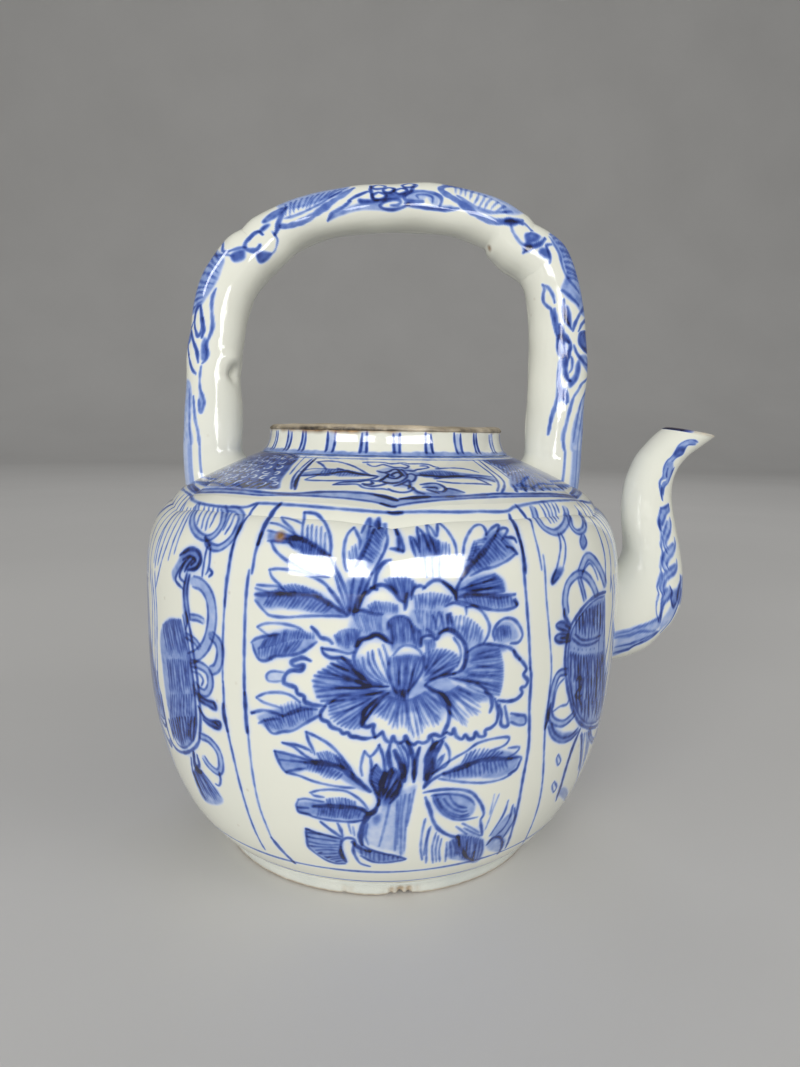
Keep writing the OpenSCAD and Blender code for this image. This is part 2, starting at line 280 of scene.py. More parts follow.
def lobe(az):
    """0 at the middle of a lobe and 1 at a groove, and the degrees from the middle"""
    a = np.mod(az - GROOVES[0], 360) + GROOVES[0]
    g = np.array(GROOVES)
    k = np.clip(np.searchsorted(g, a, side="right") - 1, 0, 5)
    mid, half = (g[k] + g[k + 1]) / 2, (g[k + 1] - g[k]) / 2
    return np.abs(a - mid) / half, np.abs(a - mid)


def crest(az):
    t = lobe(az)[0]
    return 0.55 * np.cos(math.pi / 2 * t) ** 2 + 0.45 * (1 - t) ** 2


def notch(az):
    """The ridge dips a little at the middle of each lobe"""
    return -1.5 * np.clip(1 - lobe(az)[1] / 13, 0, 1) ** 1.4


def uneven(az, z):
    """Slight unevenness of a hand-finished wall"""
    a = np.radians(az)
    return 0.16 * np.sin(2 * a + 0.7) + 0.09 * np.sin(5 * a + z / 17) + 0.07 * np.sin(9 * a - z / 9 + 1)


def smooth(x, a, b):
    t = np.clip((x - a) / (b - a), 0, 1)
    return t * t * (3 - 2 * t)


def bowl_xyz(az, z, off=0.0):
    r = wall_r(z) + 2 * (z / RIDGE_Z) ** 1.5 * crest(az) + off + uneven(az, z) * smooth(z, 5, 20)
    zz = z + notch(az) * smooth(z, 84, 99)
    return r * np.cos(np.radians(az)), r * np.sin(np.radians(az)), zz


def band_xyz(az, u, off=0.0):
    r = RIDGE + 2 * crest(az) + uneven(az, 99) - LEAN * u + 0.3 * np.sin(math.pi * u) + off
    return r * np.cos(np.radians(az)), r * np.sin(np.radians(az)), RIDGE_Z + BAND_H * u + notch(az)


def dome_xyz(az, s, off=0.0, drop=0.0):
    r = (RIDGE + 2 * crest(az) + uneven(az, 99) - LEAN + off) * (1 - s) + NECK * s
    z = BAND_TOP + RISE * (1.18 * s - 0.18 * s * s) - drop
    return r * np.cos(np.radians(az)), r * np.sin(np.radians(az)), z + notch(az) * (1 - s) ** 2


# ---------------------------------------------------------------- from the photo to the pot
FOCAL, MIDDLE = 776, (400, 533.5)


def photo_pixel(x, y, z):
    """Where the camera puts points given in mm"""
    p = np.stack(np.broadcast_arrays(x, y, z), -1) - np.array(eye) * 1000
    across, rise, away = (p @ np.array(axis) for axis in axes)
    return np.stack([MIDDLE[0] - FOCAL * across / away, MIDDLE[1] + FOCAL * rise / away], -1)


class Crop:
    """
    An enlarged crop of the photo: the photo pixel at its corner and how much it is enlarged.
    Strokes were read off it, and it puts their points on a surface between low and high.
    """

    GRID = 61

    def __init__(self, corner, enlarged, surface, low, high):
        self.corner, self.enlarged, self.surface = np.array(corner), enlarged, surface
        self.low, self.high = np.array(low, float), np.array(high, float)
        self.step = (self.high - self.low) / (self.GRID - 1)
        lines = [np.linspace(a, b, self.GRID) for a, b in zip(low, high)]
        self.rough = np.stack(np.meshgrid(*lines), -1).reshape(-1, 2)
        self.seen = photo_pixel(*surface(*self.rough.T))

    def find(self, pixel):
        """The place on the surface that each photo pixel shows: a rough search and then finer ones"""
        gap = ((self.seen[None] - pixel[:, None]) ** 2).sum(-1)
        best, step = self.rough[gap.argmin(1)], self.step
        reach = np.stack(np.meshgrid(*[np.linspace(-1.5, 1.5, 13)] * 2), -1).reshape(-1, 2)
        for _ in range(4):
            near = np.clip(best[:, None] + reach * step, self.low, self.high)
            gap = ((photo_pixel(*self.surface(near[..., 0], near[..., 1])) - pixel[:, None]) ** 2).sum(-1)
            best, step = near[np.arange(len(near)), gap.argmin(1)], step / 4
        return best

    def __call__(self, points):
        return self.find(self.corner + points / self.enlarged)


def strokes(text, place=None, wide=1.0, line=1.0, hatch=1.0, wash=1.0):
    """
    Reads brush strokes: s a line, d a double line, h a hatch between two guides, w a wash. Numbers
    come first: width and depth, with a gap before them for d, a count before them for h, and only a
    depth for w. A / starts another line and a : another guide, and a row may run on after a space.
    place moves points on to a canvas, apart from those written @x,y, which are in its mm already.
    wide scales the lines' width, and line, hatch and wash scale the depth of each kind.
    """
    rows = []
    for row in text.strip().replace("\n ", " ").splitlines():
        kind, *words = row.split()
        numbers = [float(w) for w in words if "," not in w and w not in "/:"]
        numbers[-1] *= {"s": line, "d": line, "h": hatch, "w": wash}[kind]
        if kind == "s":
            numbers[0] *= wide
        points = " ".join(w for w in words if "," in w or w in "/:")
        parts = [part.split() for part in points.replace(":", "/").split("/")]
        placed = []
        for part in filter(None, parts):
            p = np.array([[float(v) for v in w.lstrip("@").split(",")] for w in part])
            free = np.array([w[0] != "@" for w in part])
            if place and free.any():
                p[free] = place(p[free])
            placed.append(p)
        rows.append((kind, numbers, placed))
    return rows


# the body's canvas is 1.15 mm a degree wide and runs up the wall in mm, over the ridge and its band
MM_A_DEGREE = 1.15
BAND_RUN = math.hypot(BAND_H, LEAN)
# the shoulder's canvas is DOME_RUN mm from the band to the neck
DOME_RUN = 24
LOBE_FRONT, LOBE_RIGHT, LOBE_LEFT = -90, -30, -150


def panel_surface(centre):
    """The outside of the lobe at centre, by mm across from its middle and mm up"""

    def surface(x, t):
        az = centre + x / MM_A_DEGREE
        parts = bowl_xyz(az, np.interp(t, t_run, z_run)), band_xyz(az, (t - T) / BAND_RUN)
        return [np.where(t < T, low, high) for low, high in zip(*parts)]

    return surface


def front_dome(a, s):
    return dome_xyz(LOBE_FRONT + a, s)


class DomeCrop(Crop):
    """A crop whose points go on the shoulder's canvas: degrees from the lobe's middle and mm up"""

    def __call__(self, points):
        a, s = super().__call__(points).T
        return np.stack([a, DOME_RUN * s + notch(LOBE_FRONT + a) * (1 - s) ** 2], 1)


def front_band(a, u):
    return band_xyz(LOBE_FRONT + a, u)


class BandCrop(Crop):
    """A crop whose points go on the band, which lies below 0 on the shoulder's canvas"""

    def __call__(self, points):
        a, u = super().__call__(points).T
        return np.stack([a, BAND_H * (u - 1)], 1)


def first_wall(x, t):
    """
    The bowl as it was first measured. A few leaves at the left were read off the photo unwrapped
    on to it, so their points are mm across it and up it.
    """
    belly, belly_z, ridge, heel = 67.4, 68, 56.95, 47.54
    z = np.linspace(FOOT_H, RIDGE_Z, 800)
    lo = np.clip((belly_z - z) / (belly_z - FOOT_H), 0, 1)
    hi = np.clip((z - belly_z) / (RIDGE_Z - belly_z), 0, 1)
    lower = heel + (belly - 0.9 - heel) * (1 - lo**2.4) ** 0.78
    upper = ridge + (belly - 0.9 - ridge) * (1 - hi**2.4) ** 0.95
    wall = np.where(z < belly_z, lower, upper)
    run = np.r_[0, np.cumsum(np.hypot(np.diff(z), np.diff(wall)))]
    az, height = LOBE_FRONT + x / MM_A_DEGREE, np.interp(t, run, z)
    r = np.interp(height, z, wall) + 2 * (height / RIDGE_Z) ** 1.5 * crest(az)
    return r * np.cos(np.radians(az)), r * np.sin(np.radians(az)), height


def body_crop(corner, enlarged, centre, x0, x1):
    return Crop(corner, enlarged, panel_surface(centre), (x0, 0), (x1, T + BAND_RUN))


flower_crop = body_crop((282, 572), 7, LOBE_FRONT, -40, 40)
upper_crop = body_crop((255, 508), 6.5, LOBE_FRONT, -40, 40)
lower_crop = body_crop((262, 728), 6.5, LOBE_FRONT, -40, 40)
right_crop = body_crop((505, 495), 4, LOBE_RIGHT, -40, 0)
left_crop = body_crop((148, 495), 4, LOBE_LEFT, 0, 40)
edge_right_crop = body_crop((505, 495), 4, LOBE_FRONT, -44, 44)
edge_left_crop = body_crop((148, 495), 4, LOBE_FRONT, -44, 44)
rim_left_crop = body_crop((222, 490), 6, LOBE_FRONT, -44, 44)
rim_right_crop = body_crop((498, 490), 6, LOBE_FRONT, -44, 44)
leaf_crop = DomeCrop((280, 446), 7, front_dome, (-45, 0), (45, 1))
border_crop = DomeCrop((290, 448), 7, front_dome, (-45, 0), (45, 1))
lines_crop = DomeCrop((290, 448), 7, front_dome, (-62, 0), (62, 1))
band_crop = BandCrop((0, 0), 1, front_band, (-62, 0), (62, 1))


def unwrapped(points):
    return edge_left_crop.find(photo_pixel(*first_wall(*points.T)))


# ---------------------------------------------------------------- the painting's strokes
LEFT_LEAVES = """
s .5 .75 -35.9,50 -36,30 -35.4,22 -35.1,17.4
s 1.1 1 -35.1,17.4 -33.3,13.3 -31.4,9.8 -30.6,7.8
s .5 .7 -32.5,74.5 -30.2,75.5 -26.3,75.9 -22.4,75.5 -20.4,74.5
s .5 .75 -32.5,74.4 -30.6,73.4 -29.4,72.8
s .6 .9 -34.1,70.6 -32.5,71.8 -29.4,72.8 -26.7,73.4
s .6 .9 -33.7,70.3 -33.3,69.1 -32.1,67.1 -30.2,66.9 -27.8,68.3 -25.1,68.7 -21.2,69.9 -17.7,72.6
h 20 .36 .81 : -32,69.5 -28,70.8 -23,72.8 -18.5,73.4 : -30,72.5 -26,74.4 -22,75 -18.5,74.6
h 13 .36 .71 : -32,69.5 -27,71 -21,72.8 : -32,67.4 -28.5,67.4 -24,69
w .3 -33.6,70.5 -29.5,73 -25,74.6 -21,74.6 -17.8,73 -21,70.2 -26,68.6 -31,67
s .45 .7 -25.5,64.8 -28.6,64.6 -30,63.5 -29.6,62.3 -27.8,62.3 -26.3,62.7
w .14 -26,64.6 -29.5,64 -29.6,62.6 -26.5,62.6
s .55 .8 -32.9,57.8 -30.2,59.2 -26.7,59.9 -23.9,59.6 -21.6,58.2
s .5 .75 -32.9,57.6 -30.6,56.8 -27.5,56.4 -26.3,56.2
s .7 .9 -34.5,53.7 -31,54.9 -27.8,54.7 -25.9,54.3
s 1.1 1 -34.4,53.6 -33.6,53.9
s .5 .8 -32.7,51.4 -30.2,52.7 -27,53.5
s .6 .8 -31,51.7 -29,49.6 -26.3,50.4 -23.5,51.2 -20.8,53.1 -18.5,54.7 -16.9,55.8
s .9 .9 -25.9,54.3 -23.2,55.8 -20.8,56.8 -17.7,57
h 16 .36 .81 : -31,52.6 -27,54.2 -23,56 -19,57 : -29.5,50.6 -26,51.2 -22,53 -19,55
h 6 .36 .66 : -26,55 -21.5,57 : -26.5,57.4 -22,58.6
w .29 -33,53 -28,55.5 -23,57.5 -19,57.5 -18,55.5 -23,52 -28,50.3 -31,51
"""
EDGE_RIGHT = """
s .6 1.05 62,180 75,300 85,420 95,560 101,700
s .7 1.1 100,690 104,730 97,850 @33.4,46.7 @33.2,37.5 @33.7,30 @34.6,22 @36.6,13
"""
EDGE_LEFT = """
s .6 1.05 404,300 392,400 387,500 384,640 385,800
s .9 1.25 386,790 390,870 396,950
"""
RIM_LEFT = """
s 1.05 1.5 350,84 300,140 262,200 238,255 215,325
s .6 1.1 240,250 215,325 198,380 188,440 178,500
s .6 1.35 212,86 175,130 130,190 95,260
s .5 .95 100,250 65,330 48,400 35,480 22,560 15,700
"""
RIM_RIGHT = """
s .95 1.5 68,148 100,210 120,265 135,320
s .65 1.1 130,300 158,420 166,500
s .75 1.3 108,92 150,140 192,182
s .4 .9 188,170 215,260 245,380 262,480
"""
FLOWER = """
w .34 : 760,600 850,570 980,590 985,650 940,760 870,860 800,850 760,760 745,680
h 12 .4 .72 : 780,600 880,585 975,600 : 805,840 850,860 895,845
s .5 .95 : 990,590 985,680 940,760 890,830
s .6 .95 : 755,600 745,680 765,780 800,850
s .4 .7 : 775,585 830,525 900,515 960,550 985,590
w .42 : 740,340 800,315 880,330 900,390 990,420 980,520 900,520 830,520 780,560 750,500 735,420
h 12 .42 .85 : 745,350 820,320 880,340 960,410 : 775,545 830,515 900,512 975,530
s .5 .9 : 740,400 745,350 790,315 850,312 890,340 905,390
s .6 .95 : 730,490 700,460 660,440 610,460 560,480 520,540 500,600 520,660 560,720 600,770 680,800
 740,803
s 1.05 1.35 : 515,520 545,475 600,462 650,438 700,452 740,485 765,500
s .42 .8 : 600,560 610,640 660,720 720,770 / 630,550 640,620 680,700 740,780 / 675,540 700,620 730,700
 755,780 / 562,600 580,680 640,740 700,782 / 530,620 560,690 620,760 700,792 / 705,510 730,580 742,650
w .2 : 500,600 560,580 600,620 680,740 740,790 640,790 560,730 510,660
s .6 1 : 970,520 980,460 1040,445 1080,470 1110,420 1160,402
s .95 1.15 : 1100,430 1160,402 1220,430 1270,490 1290,560 1280,640 1250,690 1200,712
s .7 1.05 : 1210,710 1120,730 1040,760 1000,790
h 14 .42 .78 : 1000,570 1080,545 1160,550 1225,590 1230,640 1180,700 : 1000,690 1000,740 1012,768
w .4 : 1000,600 1080,560 1160,560 1230,590 1230,650 1180,700 1080,730 1000,770 985,700
h 5 .4 .8 : 1000,480 1060,475 : 1010,590 1065,560
s .4 .85 : 1200,460 1240,520 1250,590 1225,660
h 13 .5 .85 : 420,600 340,650 275,690 230,720 215,770 235,830 255,890 310,920 : 585,750 600,785 640,800
 690,815 735,830
w .42 : 430,620 350,660 280,700 225,760 240,860 310,900 420,870 560,850 720,840 600,790 540,720 500,650
w .4 : 430,690 500,690 560,760 620,800 560,820 460,810 410,780
s .8 1.1 : 415,598 470,640 520,700 570,750
s .7 1.05 : 340,640 400,668 460,690
s .5 1 : 560,797 660,803 745,800
s .8 1.1 : 305,935 270,985 275,1030 320,1050 345,1085 400,1105 425,1130 460,1125 480,1150 520,1155
 570,1166 640,1157
s .5 .9 : 325,925 400,875 520,862 640,852 735,845
h 14 .42 .72 : 335,945 330,1010 390,1065 470,1095 550,1090 575,1030 : 620,872 650,880 680,885 705,880
w .32 : 320,930 420,880 560,860 720,850 640,900 590,980 560,1060 480,1080 400,1040 340,1000
s .85 1.25 : 745,848 660,900 600,950 565,1010 562,1065 595,1085 640,1070 635,1110 650,1158
s .9 1.15 : 1005,795 1060,830 1115,850 1155,905 1172,980 1160,1060 1125,1130
h 22 .42 .76 : 745,870 800,890 860,900 930,880 1000,840 : 625,970 680,1045 750,1085 830,1110 900,1150
 980,1155 1060,1095 1120,1030 1142,950
w .26 : 640,930 740,880 860,900 1000,830 1100,860 1140,950 1110,1040 1040,1040 980,980 900,980 820,1000
 740,1030 690,1010
s .7 1.05 : 650,1160 690,1130 702,1120 715,1160 735,1185 762,1190 776,1152 792,1185 820,1198 852,1182
 862,1150 882,1190 920,1208 950,1190 985,1198 1022,1180 1032,1148 1070,1138 1110,1150 1150,1122
s .7 1.05 : 1150,1122 1188,1135 1202,1098 1220,1150 1260,1170 1280,1140 1308,1170 1342,1160 1352,1122
 1380,1152 1420,1146 1422,1108 1465,1088 1500,1050 1512,990 1502,930 1490,890
h 13 .4 .68 : 1080,850 1130,850 1180,830 1230,800 : 1220,1050 1300,1080 1360,1030 1405,950 1445,880
w .36 : 1000,790 1150,740 1220,800 1400,850 1440,900 1340,900 1240,880 1180,960 1120,880 1050,850
s .95 .9 : 1420,840 1460,880 1470,930 1455,980
s .5 .9 : 1170,740 1280,760 1380,790 1450,850 1490,890
h 17 .42 .72 : 1515,540 1540,620 1545,700 1540,780 1520,860 : 1320,590 1300,640 1270,700 1225,735
 1240,780
w .36 : 1320,580 1400,540 1500,540 1535,620 1540,720 1520,840 1440,830 1340,780 1240,770 1200,740
 1280,680 1310,620
w .5 : 1310,570 1400,515 1540,515 1570,545 1460,560 1350,600
s .6 1 : 1300,560 1350,525 1420,505 1540,518 1590,530 1630,560
s 1.1 1.35 : 1620,550 1640,585 1665,610
s .75 1.05 : 1660,605 1690,640 1710,680 1690,720 1720,760 1702,800 1670,812 1680,850 1640,890 1580,905
 1510,900
s .5 .9 : 1140,240 1200,215 1260,230 1285,245 1290,300
s .55 .95 : 1290,245 1350,240 1410,290 1450,370 1442,440 1410,500
h 10 .5 .75 : 1190,320 1250,310 1310,330 1360,370 1400,410 : 1185,420 1230,445 1280,470 1330,495
 1380,500
w .28 : 1180,400 1260,380 1340,400 1400,440 1400,500 1330,500 1290,520 1240,460
h 6 .42 .7 : 1150,300 1180,290 : 1160,390 1200,380
s .8 1.1 : 540,240 550,175 600,140 640,108 690,92 740,105 790,150 825,195 850,210
h 9 .5 .85 : 605,235 650,212 700,215 750,220 800,235 : 640,300 690,295 740,292 800,292
w .25 : 540,262 640,240 760,240 820,260 800,300 700,300 600,300
s .8 1 : 500,275 560,270 640,292 700,296
s .6 1 : 905,190 918,125 960,98 1000,110
s .65 1 : 985,120 1040,72 1090,56 1140,80 1190,120
s .9 1.15 : 1180,110 1212,150 1222,195
h 11 .48 .8 : 930,170 1000,155 1060,150 1120,160 1185,180 : 940,262 1010,262 1080,250 1150,235
w .22 : 915,190 1060,185 1200,190 1180,240 1060,262 930,262
h 9 .5 .8 : 720,62 780,45 850,40 900,60 930,90 : 805,165 840,200 862,230 880,205 900,175
w .28 : 720,60 850,45 930,80 890,180 860,220 800,160
s .9 1 : 872,150 866,210 860,262
h 10 .48 .82 : 370,445 420,412 480,402 545,412 : 400,525 450,532 500,520 530,490
w .32 : 370,470 440,430 520,440 520,500 500,560 440,550 390,520
s .7 1.05 : 275,530 290,570 340,600 420,602 480,622
s .55 .95 : 280,535 380,550 460,570 500,562
s .85 1.05 : 205,385 240,420 270,460 320,472 350,500
s .85 1.05 : 200,622 145,600 100,612 62,632 90,660 150,652 130,688 62,690 22,720 10,770 40,790 92,808
 108,850 150,868 160,908 220,930 300,938
w .55 : 740,830 800,818 860,860 872,900 800,890 740,870
h 6 .4 1 : 790,830 880,830 : 800,895 880,900
s .6 1 : 1490,480 1478,420 1510,360 1560,326 1620,332 1662,380 1682,440 1655,490 1600,500
h 7 .5 .85 : 1500,400 1540,380 1590,385 : 1500,480 1540,482 1600,470
w .35 : 1490,440 1520,370 1590,350 1640,400 1650,460 1590,490 1510,490
s .7 1 : 1520,930 1535,1000 1530,1060 1550,1082 1580,1070 1570,1000 1558,940
s .6 .9 : 1600,990 1650,1000 1700,1010 1702,1060 1660,1072 1600,1050
w .32 : 1600,1000 1690,1010 1690,1060 1600,1040
s .5 .9 : 1050,300 1070,340 1080,400 / 1100,280 1120,330 1130,400 / 1010,400 1040,420 1070,440
w .22 : 500,290 700,300 740,340 735,420 640,430 560,450 470,400
h 9 .42 .55 : 500,300 600,300 690,310 : 560,440 620,430 700,430
w .24 : 900,262 1140,262 1160,400 1080,460 990,440 960,400 900,380 880,330
h 8 .42 .6 : 930,272 1020,277 1120,282 : 960,400 1010,430 1080,455
w .3 : 900,765 990,772 1010,800 940,860 880,850
w .2 : 1290,500 1400,500 1330,560 1290,560
"""
UPPER_LEAVES = """
s .6 1.05 : 320,28 400,40 450,90 480,160 492,240 487,310
s .5 .9 : 322,30 312,100 305,195
s .5 .9 : 170,60 200,65 260,80 300,100 / 170,62 190,90 240,135 255,160
s .5 .9 : 100,95 160,110 230,150 280,190 / 82,145 140,160 220,180 300,200 / 82,212 140,216 220,225
s .6 .9 : 105,222 135,280 190,330 260,370 350,420 480,450
s 1.1 1 : 180,200 260,195 320,210 380,240 430,280 482,312
h 13 .42 .78 : 200,200 300,210 380,245 450,290 : 250,262 320,305 380,322 430,332
s .4 .75 : 342,110 340,210 / 370,108 366,222 / 400,118 396,240 / 430,122 426,262 / 456,160 452,280
w .34 : 90,150 180,180 300,190 400,240 480,310 400,320 300,290 220,230 90,215
s .7 .9 : 485,310 510,370 540,430 580,520 602,600 602,690
s .5 .85 : 520,440 560,560 590,650 / 480,520 530,580 580,660
s .55 .95 : 640,140 600,180 580,240 575,320 590,400 602,412 / 640,140 660,180 680,230 676,280
s .42 .75 : 610,290 625,370 / 630,260 640,360 / 650,250 660,340
s .55 .95 : 690,180 720,120 745,96 740,160 726,220 / 745,150 780,130 805,102 800,170 / 800,172 840,140
 857,152 850,200 860,240 842,300 800,370 770,420 740,450
s .9 1 : 770,170 740,230 710,290 680,340 650,390
h 11 .42 .75 : 800,120 760,200 720,280 700,320 : 845,190 830,260 800,330 770,370
w .32 : 690,200 745,110 800,120 840,170 830,260 780,360 720,400 680,340 690,260
w .5 : 600,470 720,465 710,520 680,600 660,690 620,690 620,600 600,530
s .6 .95 : 640,460 625,560 615,690 / 700,460 670,560 640,690 / 760,430 720,520 690,600 660,680
s .8 .95 : 880,360 830,375 795,420 780,470 770,520
s 1.2 1.2 : 750,520 790,530
s 1.3 1.3 : 912,180 925,212
s .6 1 : 915,180 945,230 967,290 962,310 / 925,210 935,260 930,300
s .9 1.15 : 880,297 920,300 960,306
w .5 : 920,200 950,240 965,300 930,300
s .55 .95 : 1005,215 1030,225 1060,270 1070,300 / 1008,222 1025,280 1045,330 / 1055,150 1060,200
 1076,270 / 1058,150 1090,180 1112,230 1140,290
s .55 .95 : 1115,120 1125,170 1150,230 1176,300 / 1118,120 1150,150 1180,190 1190,108 1230,130 1270,180
 1300,240 1310,312
s .42 .75 : 1220,230 1216,300 / 1240,230 1238,310 / 1260,240 1262,310 / 1192,220 1196,300
h 9 .4 .5 : 1070,200 1110,190 1160,210 1200,230 : 1080,325 1120,328 1170,328 1210,328
w .32 : 1010,230 1060,210 1120,180 1180,220 1200,320 1060,325
s .45 .8 : 1100,330 1108,400 1116,450 / 1150,330 1152,400 1156,452 / 1200,330 1196,400 1200,455
s .55 .95 : 1350,310 1360,230 1390,160 1430,115 1470,110 1496,140 1502,175
s .42 .75 : 1425,215 1400,300 1380,360 / 1440,230 1420,300 1400,350
s .6 .95 : 1500,175 1540,130 1580,110 1576,150 1560,180 / 1570,152 1610,130 1640,140 1622,180 1602,210
s .8 1.3 : 1630,190 1680,196 1698,222 / 1635,250 1670,262 1702,297
s .55 .9 : 1690,300 1640,340 1560,380 1480,400 1400,440
s 1.3 1 : 1560,180 1520,230 1480,290 1430,340 1380,400 1342,460
w .42 : 1490,180 1560,150 1620,170 1660,220 1680,280 1600,340 1500,380 1400,420 1340,460 1350,400
 1420,300 1480,240
h 13 .42 .75 : 1580,170 1520,240 1460,310 1400,370 : 1670,260 1620,330 1530,370 1440,420
h 7 .42 .75 : 1500,200 1460,260 1400,330 : 1420,220 1400,280 1370,340
s 1 1.05 : 1322,580 1400,566 1500,570 1600,575 1690,562
s .6 .95 : 1310,600 1400,625 1480,650 1580,665 1660,655 1702,630 1690,590
h 9 .45 .65 : 1560,430 1600,470 1612,510 1620,540 : 1335,515 1332,545 1340,562
w .3 : 1320,500 1400,460 1520,430 1610,460 1620,540 1500,560 1400,560 1320,580
h 14 .42 .72 : 1360,578 1450,578 1550,582 1660,582 : 1385,616 1465,636 1560,650 1670,640
s .9 1.3 : 1680,600 1702,628
w .3 : 1330,590 1500,590 1680,590 1680,640 1560,655 1440,635
s .8 1.1 : 1342,460 1312,520 1302,590 / 1220,480 1270,520 1300,560
s .5 .85 : 92,400 150,395 220,402 300,420 400,460 460,500 500,560 560,640 590,690 / 92,400 110,450
 160,500 182,530 / 10,500 80,505 150,510 190,530 / 0,520 60,540 100,552
s 1 1.05 : 0,562 100,560 200,560 300,562 400,582 480,620 560,670 600,700
s .5 .85 : 0,600 60,670 100,700 200,710 350,702 500,702 590,706
h 15 .42 .78 : 110,545 220,500 320,515 420,560 : 165,566 260,566 360,576 450,612
h 17 .42 .72 : 90,572 220,580 340,590 500,640 : 50,640 180,650 300,662 440,690
w .34 : 0,550 150,540 300,530 420,560 520,640 590,700 440,690 300,660 180,650 60,650 10,610
"""
